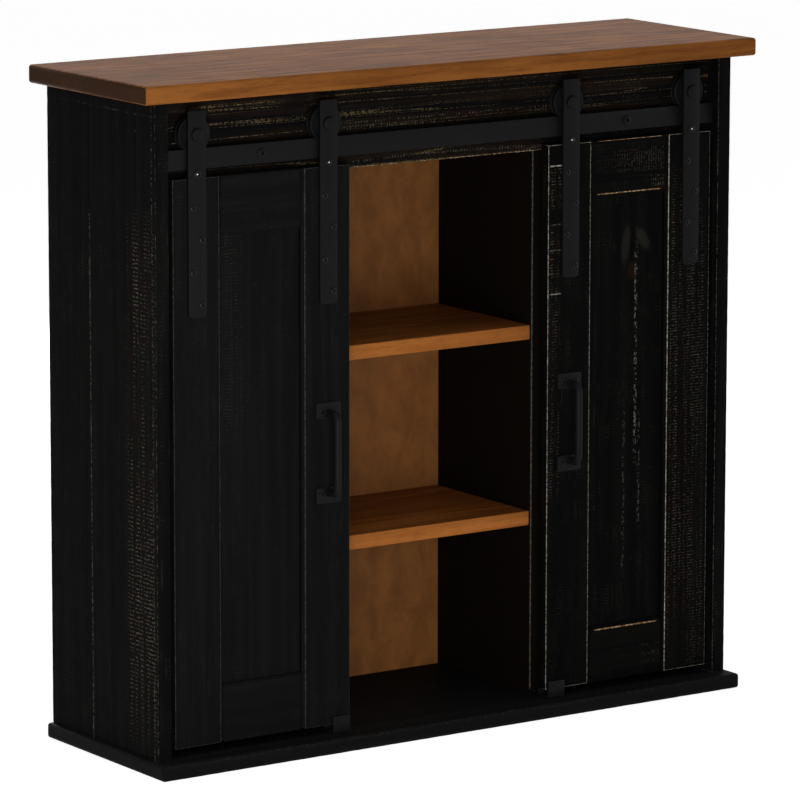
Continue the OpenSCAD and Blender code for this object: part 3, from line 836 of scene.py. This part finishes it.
@dataclass
class Board:
    """A sawn board that stands for one node of the frame."""

    node: str
    finish: Finish
    length: Axis = Axis.X
    arris_r: float = 0.6 * MM
    wear_w: float = 0.8 * MM
    wear_depth: float = 0.22 * MM
    wear_pitch: float = 9 * MM
    slice_l: float = 6 * MM
    end_clear: float = 2.5 * MM
    seed: float = 1.0

    def solid(self) -> Mesh:
        """The board before its arrises are eased: here a plain box.

        Returns:
            The solid.
        """
        low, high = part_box(self.node)
        size, middle = high - low, (high + low) / 2
        bm = bmesh.new()
        bmesh.ops.create_cube(bm, size=1.0)
        for v in bm.verts:
            v.co = Vector(v.co[i] * size[i] + middle[i] for i in range(3))
        return bm

    def most_wear(self, point: Vector, low: Vector, high: Vector) -> float:
        """The highest mark of an arris there, where 1 is worn and 0.5 is not: here little at the ends."""
        i = self.length.value
        return 0.5 if min(point[i] - low[i], high[i] - point[i]) < self.end_clear else 1.0

    def build(self) -> None:
        """Eases, marks and wears the board, and puts it in the place of its node."""
        bm = self.solid()
        ease(bm, self.arris_r, least=22.0)
        rim(bm, self.wear_w)
        slice_along(bm, self.length, self.slice_l)
        layer = bm.verts.layers.float.get(ARRIS)
        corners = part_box(self.node)
        for v in bm.verts:
            v[layer] = min(v[layer], self.most_wear(v.co, *corners))
        waver(bm, self.wear_depth, self.wear_pitch, self.seed)
        Piece(self.node, self.finish).place(bm)


@dataclass
class RoundedBoard(Board):
    """The top or base board, whose front and end edges are worked to a radius."""

    edge_r: float = 3 * MM

    def solid(self) -> Mesh:
        """The board with its front and end edges rounded.

        Returns:
            The solid.
        """
        bm = super().solid()
        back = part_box(self.node)[1].y - MM
        bevel(bm, [e for e in bm.edges if min(v.co.y for v in e.verts) < back], self.edge_r, 5)
        return bm


@dataclass
class SidePanel(Board):
    """A side panel of three glued planks and a smooth front lipping, rebated for the back."""

    length: Axis = Axis.Z
    outward: int = 1
    front_joint: float = 34 * MM
    rear_joint: float = 120 * MM
    joint_depth: float = 0.6 * MM
    lipping: float = 6.4 * MM
    lipping_groove: float = 0.35 * MM
    rebate_w: float = 8 * MM
    inner_w: float = 4 * MM
    front_w: float = 1.5 * MM
    joint_w: float = 3 * MM
    worn_up_to: float = 0.54

    def most_wear(self, point: Vector, low: Vector, high: Vector) -> float:
        """Hardly any wear inside, some in the front joint and the most low down in the rear one.

        Args:
            point: A point of the arris.
            low: The board's lowest corner.
            high: Its highest corner.

        Returns:
            The mark, where 1 is worn and 0.5 is not.
        """
        inner = low.x if self.outward > 0 else high.x
        depth = point.y - low.y
        if abs(point.x - inner) < self.inner_w:
            return 0.93 if self.outward > 0 and depth < self.front_w else 0.5
        if abs(depth - self.front_joint) < self.joint_w:
            return 0.8
        if abs(depth - self.rear_joint) < self.joint_w:
            return 0.96 if point.z < self.worn_up_to else 0.75
        return 0.92

    def solid(self) -> Mesh:
        """The panel's plan, with its joints and rebate, carried up its height.

        Returns:
            The solid.
        """
        low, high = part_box(self.node)
        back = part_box("back_panel")[0].y
        outer, inner = (high.x, low.x) if self.outward > 0 else (low.x, high.x)
        plan = [(inner, low.y), (outer, low.y)]
        for y, depth in ((self.lipping, self.lipping_groove), (self.front_joint, self.joint_depth),
                         (self.rear_joint, self.joint_depth)):
            middle = low.y + y
            plan += [(outer, middle - depth), (outer - self.outward * depth, middle), (outer, middle + depth)]
        step = inner + self.outward * self.rebate_w
        plan += [(outer, high.y), (step, high.y), (step, back), (inner, back)]
        return prism(plan, Axis.Z, low.z, high.z)


@dataclass
class Divider(Board):
    """A divider, notched at the top behind for the hanging rail."""

    length: Axis = Axis.Z
    front_w: float = 2.5 * MM
    foot_clear: float = 3 * MM

    def most_wear(self, point: Vector, low: Vector, high: Vector) -> float:
        """Only the front arrises are rubbed, and not at the foot."""
        return 1.0 if point.y < low.y + self.front_w and point.z > low.z + self.foot_clear else 0.4

    def solid(self) -> Mesh:
        """The divider's side view carried through its thickness.

        Returns:
            The solid.
        """
        low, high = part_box(self.node)
        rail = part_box("hanging_rail")[0]
        y, z = rail.y - HAIR, rail.z - HAIR
        outline = [(low.y, low.z), (high.y, low.z), (high.y, z), (y, z), (y, high.z), (low.y, high.z)]
        return prism(outline, Axis.X, low.x, high.x)


@dataclass
class DoorBoard(Board):
    """A stile or rail, whose front arrises are chamfered at the joints and whose groove holds the panel."""

    joint_chamfer: float = 3 * MM
    tongue: float = 7 * MM
    face_depth: float = 1.2 * MM
    joint_clear: float = 1.5 * MM

    def groove(self, edge: float, sign: int) -> list[Point]:
        """The groove's section, from the front to the back.

        Args:
            edge: Where the board's inner edge is.
            sign: 1 where the board lies above the edge or right of it, else -1.

        Returns:
            Points of Y and of the height or place of the edge.
        """
        low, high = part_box(BODY_OF[self.node] + "_panel")
        front, back, floor = low.y - HAIR, high.y + HAIR, edge + sign * self.tongue
        return [(front, edge), (front, floor), (back, floor), (back, edge)]


@dataclass
class Stile(DoorBoard):
    """An upright of a door, chamfered and grooved on its inner edge."""

    length: Axis = Axis.Z
    arris_r: float = 0.45 * MM
    wear_w: float = 0.55 * MM
    inward: int = 1

    def most_wear(self, point: Vector, low: Vector, high: Vector) -> float:
        """Only the arrises of the front face are rubbed."""
        return 1.0 if point.y < low.y + self.face_depth else 0.55

    def solid(self) -> Mesh:
        """The stile's plan carried up its height.

        Returns:
            The solid.
        """
        low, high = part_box(self.node)
        inner, outer = (high.x, low.x) if self.inward > 0 else (low.x, high.x)
        s, c = self.inward, self.joint_chamfer
        plan = [(outer, low.y), (inner - s * c, low.y), (inner, low.y + c),
                *((x, y) for y, x in self.groove(inner, -s)), (inner, high.y), (outer, high.y)]
        return prism(plan, Axis.Z, low.z, high.z)


@dataclass
class DoorRail(DoorBoard):
    """A cross piece of a door, chamfered at both ends and along the panel."""

    def most_wear(self, point: Vector, low: Vector, high: Vector) -> float:
        """The front arrises along the rail are rubbed, except the lowest, and its ends a little.

        Args:
            point: A point of the arris.
            low: The board's lowest corner.
            high: Its highest corner.

        Returns:
            The mark, where 1 is worn and 0.5 is not.
        """
        lowest = "bottom" in self.node and point.z < low.z + self.joint_clear
        if lowest or point.y > low.y + self.face_depth:
            return 0.5
        near_end = min(point.x - low.x, high.x - point.x) < self.joint_chamfer + self.joint_clear
        return 0.6 if near_end else 1.0

    def solid(self) -> Mesh:
        """The rail's section carried along, with its ends chamfered.

        Returns:
            The solid.
        """
        low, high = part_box(self.node)
        inner, outer, s = (low.z, high.z, 1) if "top" in self.node else (high.z, low.z, -1)
        section = [(low.y, outer), (low.y, inner), *self.groove(inner, s), (high.y, inner), (high.y, outer)]
        bm = prism(section, Axis.X, low.x, high.x)
        joints = []
        for edge in bm.edges:
            a, b = (v.co for v in edge.verts)
            at_end = abs(a.x - b.x) < HAIR
            at_panel = max(abs(a.z - inner), abs(b.z - inner)) < HAIR
            if max(a.y, b.y) < low.y + HAIR and (at_end or at_panel):
                joints.append(edge)
        bevel(bm, joints, self.joint_chamfer, 1)
        return bm


@dataclass
class Bar:
    """A flat bar of powder coated steel that stands for one node."""

    node: str
    foot_r: float = 0.8 * MM
    head_r: float = 0.8 * MM
    edge_r: float = 0.45 * MM

    def build(self) -> None:
        """Builds the bar from its front view, with rounded corners and eased edges."""
        low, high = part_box(self.node)
        radii = (self.foot_r, self.foot_r, self.head_r, self.head_r)
        bm = prism(rounded((low.x, low.z), (high.x, high.z), radii), Axis.Y, low.y, high.y)
        ease(bm, self.edge_r)
        Piece(self.node, PowderCoatedSteel()).place(bm)


class Recess(Enum):
    """How a screw is driven."""

    CROSS = "cross"
    SOCKET = "socket"


@dataclass(frozen=True)
class Fixing:
    """A kind of screw or bolt along Y with a driven head, set at several places."""

    head_d: float
    head_t: float
    shank_d: float
    length: float = 12 * MM
    recess: Recess = Recess.CROSS
    recess_w: float = 3.6 * MM
    dome: float = 0.35
    # How far round the first one is turned, and each one more than the one before, in degrees.
    first_turn: float = 12.0
    next_turn: float = 37.0
    sharp_from: float = 30.0

    def recessed(self, head: Mesh) -> Mesh:
        """Sinks the driver's recess into the front of the head.

        Args:
            head: The fixing with a plain head, which is freed.

        Returns:
            The fixing with its recess.
        """
        w = self.recess_w / 2
        # The arms of a cross are 2/7 as wide as the cross.
        t = w * 2 / 7
        if self.recess is Recess.SOCKET:
            outline = arc((0, 0), w, 0, 300, 5)
        else:
            outline = [(w, -t), (w, t), (t, t), (t, w), (-t, w), (-t, t),
                       (-w, t), (-w, -t), (-t, -t), (-t, -w), (t, -w), (t, -t)]
        cutter = prism(outline, Axis.Y, -self.head_t - 2 * MM, -self.head_t * 0.25)
        made = []
        for solid in (head, cutter):
            made.append(put("recess", bpy.data.meshes.new("recess")))
            solid.to_mesh(made[-1].data)
            solid.free()
        change = made[0].modifiers.new("cut", "BOOLEAN")
        change.operation, change.object, change.solver = "DIFFERENCE", made[1], "EXACT"
        result = bmesh.new()
        result.from_object(made[0], bpy.context.evaluated_depsgraph_get())
        for helper in made:
            bpy.data.meshes.remove(helper.data)
        return result

    def solid(self) -> Mesh:
        """One fixing whose head's seat is at the origin and whose shank runs back.

        Returns:
            The solid.
        """
        r, t, s = self.head_d / 2, self.head_t, self.shank_d / 2
        # The crown would fall by the dome's share over 1.1 radians, but its rounded rim starts before that.
        fall = t * self.dome / (1 - math.cos(1.1))
        crown = [(r * math.sin(a), -t + fall * (1 - math.cos(a))) for a in (0.35, 0.7)]
        profile = [(0, -t), *crown, (r * 0.93, -t * 0.55), (r, -t * 0.28), (r * 0.97, -SEAT),
                   (s, -SEAT), (s, self.length - s), (s * 0.4, self.length), (0, self.length)]
        return self.recessed(lathe(profile, Vector((0, 0, 0)), 28))

    def build_all(self, node: str, finish: Finish, front: float, name: str = "") -> None:
        """Sets one fixing where each of the node's solids is, each turned a little differently.

        Args:
            node: The node that they stand for.
            finish: Their finish.
            front: Where their heads' seats are along Y.
            name: The piece's name, if it isn't made from the node's.
        """
        one = self.solid()
        parts = []
        for i, (x, z) in enumerate(middles(node)):
            turn = Matrix.Rotation(math.radians(self.next_turn * i + self.first_turn), 4, "Y")
            part = one.copy()
            bmesh.ops.transform(part, matrix=Matrix.Translation((x, front, z)) @ turn, verts=part.verts)
            parts.append(part)
        one.free()
        Piece(node, finish, self.sharp_from, name).place(merged(parts))


def middles(node: str) -> list[Point]:
    """Finds the middles of a node's separate solids, seen from the front.

    Args:
        node: The node.

    Returns:
        X and Z of each, from the highest down and then along X.
    """
    bm = bmesh.new()
    bm.from_mesh(frame["nodes"][node].data)
    bmesh.ops.remove_doubles(bm, verts=bm.verts, dist=1e-6)
    found, seen = [], set()
    for start in bm.verts:
        if start in seen:
            continue
        queue, group = [start], []
        seen.add(start)
        while queue:
            v = queue.pop()
            group.append(v.co.copy())
            near = {e.other_vert(v) for e in v.link_edges} - seen
            seen |= near
            queue += near
        low, high = (Vector(end(c[i] for c in group) for i in range(3)) for end in (min, max))
        found.append((-round(low.z, 3), low.x, ((low.x + high.x) / 2, (low.z + high.z) / 2)))
    bm.free()
    return [middle for _, _, middle in sorted(found)]


@dataclass
class Wheel:
    """A grooved wheel, turned from steel, with a dished face."""

    node: str
    rail_clear: float = 0.4 * MM
    rail_t: float = 4 * MM
    groove_depth: float = 4 * MM
    bore_d: float = 6.1 * MM
    hub_r: float = 8 * MM
    tyre_w: float = 3 * MM
    dish: float = 0.5 * MM
    hub_slope: float = 1 * MM
    tyre_slope: float = 0.8 * MM
    soft: float = 0.4 * MM

    def build(self) -> None:
        """Turns the wheel about its axle."""
        low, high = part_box(self.node)
        r, half = (high.x - low.x) / 2, (high.y - low.y) / 2
        g, base, soft = self.rail_t / 2 + self.rail_clear, r - self.groove_depth, self.soft
        dish, tyre = -half + self.dish, r - self.tyre_w
        front = [(self.bore_d / 2, -half), (self.hub_r, -half), (self.hub_r + self.hub_slope, dish),
                 (tyre, dish), (tyre + self.tyre_slope, -half), (r - soft, -half), (r, -half + soft),
                 (r, -g - soft), (r - soft, -g), (base + soft, -g), (base, -g + soft)]
        back = [(radius, -depth) for radius, depth in reversed(front)]
        Piece(self.node, PowderCoatedSteel()).place(lathe(front + back, (low + high) / 2, 72))


@dataclass
class AxleBolts:
    """The two bolts that carry a door's wheels, with low round heads and hexagon nuts."""

    side: Side
    head_d: float = 13 * MM
    head_t: float = 3 * MM
    shank_d: float = 6 * MM
    tip_chamfer: float = 0.4 * MM
    nut_d: float = 10 * MM
    nut_t: float = 2.2 * MM
    nut_edge_r: float = 0.3 * MM

    def build(self) -> None:
        """Builds both bolts as one piece."""
        node = self.side.word + "_door_axle_bolts"
        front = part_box(self.side.word + "_door_outer_strap")[0].y
        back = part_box(node)[1].y
        r, s, t, end = self.head_d / 2, self.shank_d / 2, self.head_t, back - front
        # How far in from the rim and back from the front the head's rounding runs.
        crown = [(r - inward * MM, back_by * MM - t) for inward, back_by in
                 ((1.6, 0), (0.7, 0.25), (0.15, 0.8), (0, 1.4))]
        tip = [(s, end - self.tip_chamfer), (s - self.tip_chamfer, end), (0, end)]
        profile = [(0, -t), *crown, (r, -SEAT), (s, -SEAT), *tip]
        parts = []
        for place in ("outer", "inner"):
            low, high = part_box(f"{self.side.word}_{place}_wheel")
            centre = (low + high) / 2
            hexagon = arc((centre.x, centre.z), self.nut_d / 2, 0, 300, 5)
            nut = prism(hexagon, Axis.Y, back - self.nut_t, back)
            ease(nut, self.nut_edge_r)
            centre.y = front
            parts += [lathe(profile, centre, 40), nut]
        Piece(node, PowderCoatedSteel()).place(merged(parts))


@dataclass
class Pull:
    """A bent round bar on two foot plates."""

    side: Side
    grip_d: float = 8 * MM
    bend_r: float = 8 * MM
    grip_in: float = 3 * MM
    plate_h: float = 16 * MM
    plate_w: float = 29 * MM
    plate_t: float = 2.5 * MM
    plate_edge_r: float = 0.5 * MM
    corner_r: float = 2.2 * MM
    flare: float = 1.3
    coat: PowderCoatedSteel = PowderCoatedSteel("black_powder_coat_pull", "#0f0f10", "#161617")

    def path(self, x: float, front: float, face: float, low: float,
             high: float) -> list[tuple[Vector, float]]:
        """The bar's middle line from the upper plate to the lower one.

        Args:
            x: Where the bar is along X.
            front: Where the middle of its grip is along Y.
            face: The door's face.
            low: The height of its lower arm.
            high: The height of its upper arm.

        Returns:
            Points, each with how thick the bar is there: it flares at the plates.
        """
        r, steps, plate = self.bend_r, 10, face - self.plate_t
        # The bar starts within the plate and has its own thickness from 2.4 mm in front of it on.
        arms = []
        for z, s in ((high, -1), (low, 1)):
            arm = [(Vector((x, face - self.plate_t * 0.6, z)), self.flare),
                   (Vector((x, plate - 1.2 * MM, z)), 1.08), (Vector((x, plate - 2.4 * MM, z)), 1.0)]
            for a in (math.pi / 2 * i / steps for i in range(steps + 1)):
                arm.append((Vector((x, front + r - r * math.sin(a), z + s * (r - r * math.cos(a)))), 1.0))
            arms.append(arm)
        return arms[0] + arms[1][::-1]

    def build(self) -> None:
        """Sweeps the bar and adds the two plates."""
        node = self.side.word + "_door_pull"
        low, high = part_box(node)
        face, x, middle = high.y, (low.x + high.x) / 2, (low.z + high.z) / 2
        arm = (high.z - low.z) / 2 - self.plate_h / 2 - self.grip_in
        route = self.path(x, low.y + self.grip_d / 2, face, middle - arm, middle + arm)
        points = [point for point, _ in route]
        bar, rings, turns, across = bmesh.new(), [], 24, Vector((1, 0, 0))
        for (point, scale), before, after in zip(route, points[:1] + points, points[1:] + points[-1:]):
            up = (after - before).normalized().cross(across).normalized()
            angles = [2 * math.pi * i / turns for i in range(turns)]
            spokes = [(across * math.cos(t) + up * math.sin(t)) * self.grip_d / 2 * scale for t in angles]
            rings.append([bar.verts.new(point + spoke) for spoke in spokes])
        skin(bar, rings)
        parts = [bar]
        for z in (low.z, high.z - self.plate_h):
            w = self.plate_w / 2
            outline = rounded((x - w, z), (x + w, z + self.plate_h), (self.corner_r,) * 4)
            parts.append(prism(outline, Axis.Y, face - self.plate_t, face))
            ease(parts[-1], self.plate_edge_r)
        Piece(node, self.coat).place(merged(parts))


@dataclass
class FloorGuide:
    """A bent steel channel that holds the foot of a door."""

    side: Side
    sheet_t: float = 2.8 * MM
    bend_r: float = 1.2 * MM
    edge_r: float = 0.35 * MM

    def build(self) -> None:
        """Carries the channel's section along its width."""
        node = self.side.word + "_floor_guide"
        low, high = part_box(node)
        t, r = self.sheet_t, self.bend_r
        section = [(low.y, high.z), *arc((low.y + r, low.z + r), r, 180, 270, 4),
                   *arc((high.y - r, low.z + r), r, 270, 360, 4), (high.y, high.z), (high.y - t, high.z),
                   *arc((high.y - t - r, low.z + t + r), r, 360, 270, 4),
                   *arc((low.y + t + r, low.z + t + r), r, 270, 180, 4), (low.y + t, high.z)]
        bm = prism(section, Axis.X, low.x, high.x)
        ease(bm, self.edge_r)
        Piece(node, PowderCoatedSteel()).place(bm)


@dataclass
class Carcass:
    """The boards that don't move."""

    top: StainedPine = StainedPine(
        "stained_pine_top", 2.0, light="#a2652f", dark="#6c3f1b", ring_w=3.0 * MM)
    # The shelves' flat faces get painted shade.
    shelf: StainedPine = StainedPine(
        "stained_pine_shelf", 5.0, light="#bf7638", dark="#905526", face_stain=0.4)
    base: BlackPaintedPine = BlackPaintedPine(
        "black_pine_base", Axis.X, 4.0, rub=0.5, saw=0.0, streak=0.15, bare="#2a2928", bare_deep="#1c1b1a",
        paint="#0e0e0e", paint_thin="#131313", gloss=0.025)
    left: BlackPaintedPine = BlackPaintedPine(
        "black_pine_left_side", Axis.Z, 1.0, rub=0.75, saw=0.08, streak=0.5, bare="#605d53",
        bare_deep="#33302a", saw_pitch=4.0 * MM, column_w=5 * MM,
        flecked=(Place((-343, -62, 285), (1.5, 26, 250), 0.9), Place((-343, -10, 641), (1.5, 90, 1.6), 0.5)))
    right: BlackPaintedPine = BlackPaintedPine(
        "black_pine_right_side", Axis.Z, 7.0, rub=0.9, saw=0.15, streak=0.45, bare="#5c5953",
        bare_deep="#3a3833", flecked=(Place((343, 60, 400), (20, 25, 180), 0.8),))
    wall: BlackPaintedPine = BlackPaintedPine(
        "black_pine_divider", Axis.Z, 9.0, rub=1.1, saw=0.0, streak=0.08, bare="#56544f",
        bare_deep="#3a3835", paint="#120d0a", paint_thin="#110c08")
    header: BlackPaintedPine = BlackPaintedPine(
        "black_pine_header", Axis.X, 12.0, rub=1.0, saw=0.1, streak=0.6, lines=0.65, grain_w=1.7 * MM,
        relief=0.8 * MM, paint_thin="#1c1611",
        flecked=(Place((5, -71, 613), (128, 20, 4), 0.8), Place((0, -71, 579), (118, 20, 7), 0.6)))

    def build(self) -> None:
        """Builds every board of the carcass."""
        RoundedBoard("top_board", self.top, arris_r=0.4 * MM, wear_depth=0.1 * MM, seed=3.0).build()
        RoundedBoard("base_board", self.base, arris_r=0.4 * MM, seed=4.0).build()
        SidePanel("left_side_panel", self.left, seed=5.0, outward=-1).build()
        SidePanel("right_side_panel", self.right, seed=6.0, outward=1).build()
        for side in Side:
            Divider(side.word + "_divider", self.wall, arris_r=0.9 * MM, seed=8.0).build()
        Board("header_board", self.header, wear_depth=0.5 * MM, seed=9.0).build()
        for place in ("upper", "lower", "left", "right"):
            Board(place + "_shelf", self.shelf, arris_r=1.3 * MM, wear_depth=0.05 * MM, seed=2.0).build()


@dataclass
class Door:
    """A framed door with its straps, wheels, pull and fixings."""

    side: Side
    worn: bool
    strap_screw: Fixing = Fixing(6.6 * MM, 1.5 * MM, 3.5 * MM, recess_w=3.2 * MM)
    pull_screw: Fixing = Fixing(4.6 * MM, 1.0 * MM, 2.6 * MM, 11 * MM, recess_w=2.6 * MM)
    lift_pin: Fixing = Fixing(7.4 * MM, 1.5 * MM, 5 * MM, recess=Recess.SOCKET, recess_w=4.4 * MM)
    # The bright core in the head of a lift pin, and how far its own head stands in front of the strap.
    pin_middle: Fixing = Fixing(1.9 * MM, 0.7 * MM, 1.5 * MM, 3 * MM, recess_w=1.2 * MM)
    pin_middle_proud: float = 0.36 * MM
    strap_foot_r: float = 4 * MM
    strap_head_r: float = 1 * MM

    def paint(self, part: str, grain: Axis, seed: float) -> BlackPaintedPine:
        """The paint of one board: nearly whole on one door, and worn in the listed places on the other.

        Args:
            part: The board's name within the door.
            grain: The direction of its grain.
            seed: Its place in the patterns.

        Returns:
            The finish.
        """
        name = f"black_pine_{self.side.word}_door_{part}"
        if not self.worn:
            rub, streak = (1.15, 0.3) if "stile" in part else (0.35, 0.15)
            patches = (Place((-250, -79, 440), (13, 10, 130), 0.1),) if part == "panel" else ()
            return BlackPaintedPine(name, grain, seed, rub=rub, saw=0.05, streak=streak, flecked=patches,
                                    bare="#403f3d", bare_deep="#2b2a29", paint="#121212",
                                    paint_thin="#161616")
        # X and Z of a place's middle, how far it reaches in X and Z, and how much of the paint is gone.
        flecked = {"outer_stile": ((280, 300, 9, 240, 0.5), (303, 290, 14, 270, 0.38)),
                   "inner_stile": ((127, 330, 7, 110, 0.35), (128, 535, 9, 22, 0.55), (127, 470, 7, 26, 0.6)),
                   "top_rail": ((232, 556, 32, 12, 0.3), (258, 530, 12, 9, 0.7)),
                   "bottom_rail": ((250, 45, 12, 12, 0.2),)}.get(part, ())
        stroked = ((128, 557, 7, 0.7, 1.0), (128, 428, 7, 0.7, 0.6), (128, 498, 7, 0.7, 0.12),
                   (128, 472, 7, 0.7, 0.15)) if part == "inner_stile" else ()
        flecks, strokes = (
            tuple(Place((x, -85, z), (wide, 10, tall), gone) for x, z, wide, tall, gone in rows)
            for rows in (flecked, stroked))
        bare, deep = ("#b39a7a", "#80552e") if "rail" in part else ("#a6a196", "#70675a")
        return BlackPaintedPine(name, grain, seed, rub=0.9, saw=0.08, streak=0.3, flecked=flecks,
                                stroked=strokes, knot=(231, 482) if part == "panel" else None,
                                paint="#090909", paint_thin="#0e0e0d", bare=bare, bare_deep=deep,
                                saw_pitch=3 * MM, column_w=3 * MM)

    def build(self) -> None:
        """Builds the door's frame, panel, hangers and pull."""
        door, sign = self.side.word + "_door_", self.side.value
        seed = 20.0 + sign
        for part, inward in (("outer_stile", -sign), ("inner_stile", sign)):
            finish = self.paint(part, Axis.Z, seed + inward * 3)
            Stile(door + part, finish, seed=seed + inward, inward=inward).build()
        for part in ("top_rail", "bottom_rail"):
            DoorRail(door + part, self.paint(part, Axis.X, seed + 7), seed=seed).build()
        Board(door + "panel", self.paint("panel", Axis.Z, seed + 11), Axis.Z, seed=seed).build()
        self.hangers()
        Pull(self.side).build()

    def hangers(self) -> None:
        """Builds the straps, wheels, bolts, pins and screws."""
        door = self.side.word + "_door_"
        for place in ("outer", "inner"):
            Bar(door + place + "_strap", foot_r=self.strap_foot_r, head_r=self.strap_head_r).build()
            Wheel(f"{self.side.word}_{place}_wheel").build()
        AxleBolts(self.side).build()
        oxide, pins = BlackOxideSteel(), door + "lift_pins"
        front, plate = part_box(door + "outer_strap")[0].y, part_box(door + "pull")[1].y - Pull.plate_t
        pin = replace(self.lift_pin, length=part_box(pins)[1].y - front)
        self.strap_screw.build_all(door + "strap_screws", oxide, front)
        self.pull_screw.build_all(door + "pull_screws", oxide, plate)
        pin.build_all(pins, oxide, front)
        self.pin_middle.build_all(
            pins, ZincPlatedSteel(), front - self.pin_middle_proud, door + "lift_pin_middles")


@dataclass
class Track:
    """The flat rail, its bolts and the floor guides."""

    bolt: Fixing = Fixing(10 * MM, 2.4 * MM, 5 * MM, recess=Recess.SOCKET, recess_w=4 * MM, dome=0.5)

    def build(self) -> None:
        """Builds the rail and what fixes it."""
        Bar("barn_rail").build()
        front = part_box("barn_rail")[0].y
        bolt = replace(self.bolt, length=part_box("rail_bolts")[1].y - front)
        bolt.build_all("rail_bolts", PowderCoatedSteel(), front)
        for side in Side:
            FloorGuide(side).build()


@dataclass
class KeptNodes:
    """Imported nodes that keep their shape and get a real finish."""

    finishes: tuple[tuple[Finish, tuple[str, ...]], ...] = (
        (Carcass.wall, ("hanging_rail",)), (BrownHardboard(), ("back_panel",)),
        (ZincPlatedSteel(), ("back_nails", "shelf_pins", "base_screws", "guide_screws")),
        (PowderCoatedSteel(), ("rail_spacers", "left_door_axle_washers", "right_door_axle_washers")),
        (TurnedBeech(), ("top_dowels", "header_dowels", "hanging_rail_dowels")))

    def build(self) -> None:
        """Gives each kept node its finish."""
        for finish, nodes in self.finishes:
            for node in nodes:
                mesh = frame["nodes"][node].data
                mesh.materials.clear()
                mesh.materials.append(material_of(finish))
                LOG.info("finished %s in %s", node, finish.name)


@dataclass
class Studio:
    """The floor, the lamps, the world and the camera."""

    # The camera was solved on the photograph's straight edges.
    eye: Triple = (-2.9935, -4.3655, 1.2977)
    heading: float = -34.43
    dip: float = 9.82
    roll: float = 0.08
    focal_px: float = 5379.03
    photo_w: int = 800
    horizon_px: float = 340.19
    sensor: float = 36.0
    clip: Point = (0.1, 60)
    floor_reach: float = 30.0
    floor_tones: tuple[str, str] = ("#f4f4f4", "#f7f7f7")
    floor_cloud_w: float = 0.4
    floor_glow: float = 0.8
    world_light: float = 0.2
    # Each lamp's name, place, aim, width in metres and power in watts.
    lamps: tuple[tuple[str, Triple, Triple, float, float], ...] = (
        ("front_lamp", (-0.85, -1.35, 0.3), (-0.15, 0, 0.36), 0.7, 13),
        ("right_lamp", (2.2, -0.9, 0.7), (0, 0, 0.3), 1.0, 3),
        ("top_lamp", (-0.1, 0.0, 2.4), (0, 0, 0.6), 1.4, 7.6),
        ("rear_lamp", (0.5, 2.4, 0.3), (0, 0, 0.3), 0.6, 14))

    def camera(self) -> None:
        """Sets the camera where the photograph was taken from."""
        data = bpy.data.cameras.new("camera")
        data.sensor_width = self.sensor
        data.lens = self.focal_px / self.photo_w * self.sensor
        data.shift_y = (self.horizon_px - self.photo_w / 2) / self.photo_w
        data.clip_start, data.clip_end = self.clip
        camera = put("camera", data)
        turn = Matrix.Identity(4)
        for degrees, axis in ((self.heading, "Z"), (90 - self.dip, "X"), (self.roll, "Z")):
            turn = turn @ Matrix.Rotation(math.radians(degrees), 4, axis)
        camera.matrix_world = Matrix.Translation(self.eye) @ turn
        bpy.context.scene.camera = camera

    def seen(self, tree: Tree) -> Socket:
        """Tells the rays that are seen from the light on the object.

        Args:
            tree: The nodes of the floor or the world.

        Returns:
            1 for what the camera sees, straight or in a gloss or through glass, else 0.
        """
        found = tree.add("LightPath", output="Is Camera Ray")
        rays = found.node.outputs
        for ray in ("Is Glossy Ray", "Is Transmission Ray"):
            found = tree.add("Math", {"operation": "MAXIMUM", 0: found, 1: rays[ray]})
        return found

    def floor(self) -> None:
        """A wide pale floor that keeps the shadow."""
        p = Painter("pale_floor")
        lit = p.add("BsdfDiffuse", {"Color": p.lay(*self.floor_tones, p.speckle(self.floor_cloud_w))})
        glow = p.add("Emission", {"Color": WHITE, "Strength": self.floor_glow})
        both = p.add("AddShader", {0: lit, 1: glow})
        p.add("OutputMaterial", {"Surface": p.add("MixShader", {0: self.seen(p), 1: lit, 2: both})})
        mesh = bpy.data.meshes.new("floor")
        r = self.floor_reach
        mesh.from_pydata([(-r, -r, 0), (r, -r, 0), (r, r, 0), (-r, r, 0)], [], [(0, 1, 2, 3)])
        mesh.materials.append(p.material)
        put("floor", mesh)

    def light(self) -> None:
        """A soft lamp at the front, a weak one on each other side and a dim white world."""
        for name, spot, aim, size, power in self.lamps:
            data = bpy.data.lights.new(name, "AREA")
            data.size, data.energy = size, power
            lamp = put(name, data)
            lamp.location = spot
            lamp.rotation_euler = (Vector(aim) - Vector(spot)).to_track_quat("-Z", "Y").to_euler()
            lamp.visible_camera = False
        world = bpy.data.worlds.new("studio")
        bpy.context.scene.world = world
        t = Tree(world)
        dim, bright = (t.add("Background", {"Color": WHITE, "Strength": s}) for s in (self.world_light, 1.0))
        t.add("OutputWorld", {"Surface": t.add("MixShader", {0: self.seen(t), 1: dim, 2: bright})})

    def build(self) -> None:
        """Builds the whole studio."""
        self.camera()
        self.floor()
        self.light()
        bpy.context.scene.view_settings.view_transform = "Standard"


def main() -> None:
    """Builds the cabinet and its studio."""
    logging.basicConfig(level=logging.INFO, format="%(name)s: %(message)s")
    Carcass().build()
    Track().build()
    Door(Side.LEFT, worn=False).build()
    Door(Side.RIGHT, worn=True).build()
    KeptNodes().build()
    Studio().build()


if __name__ == "__main__":
    main()
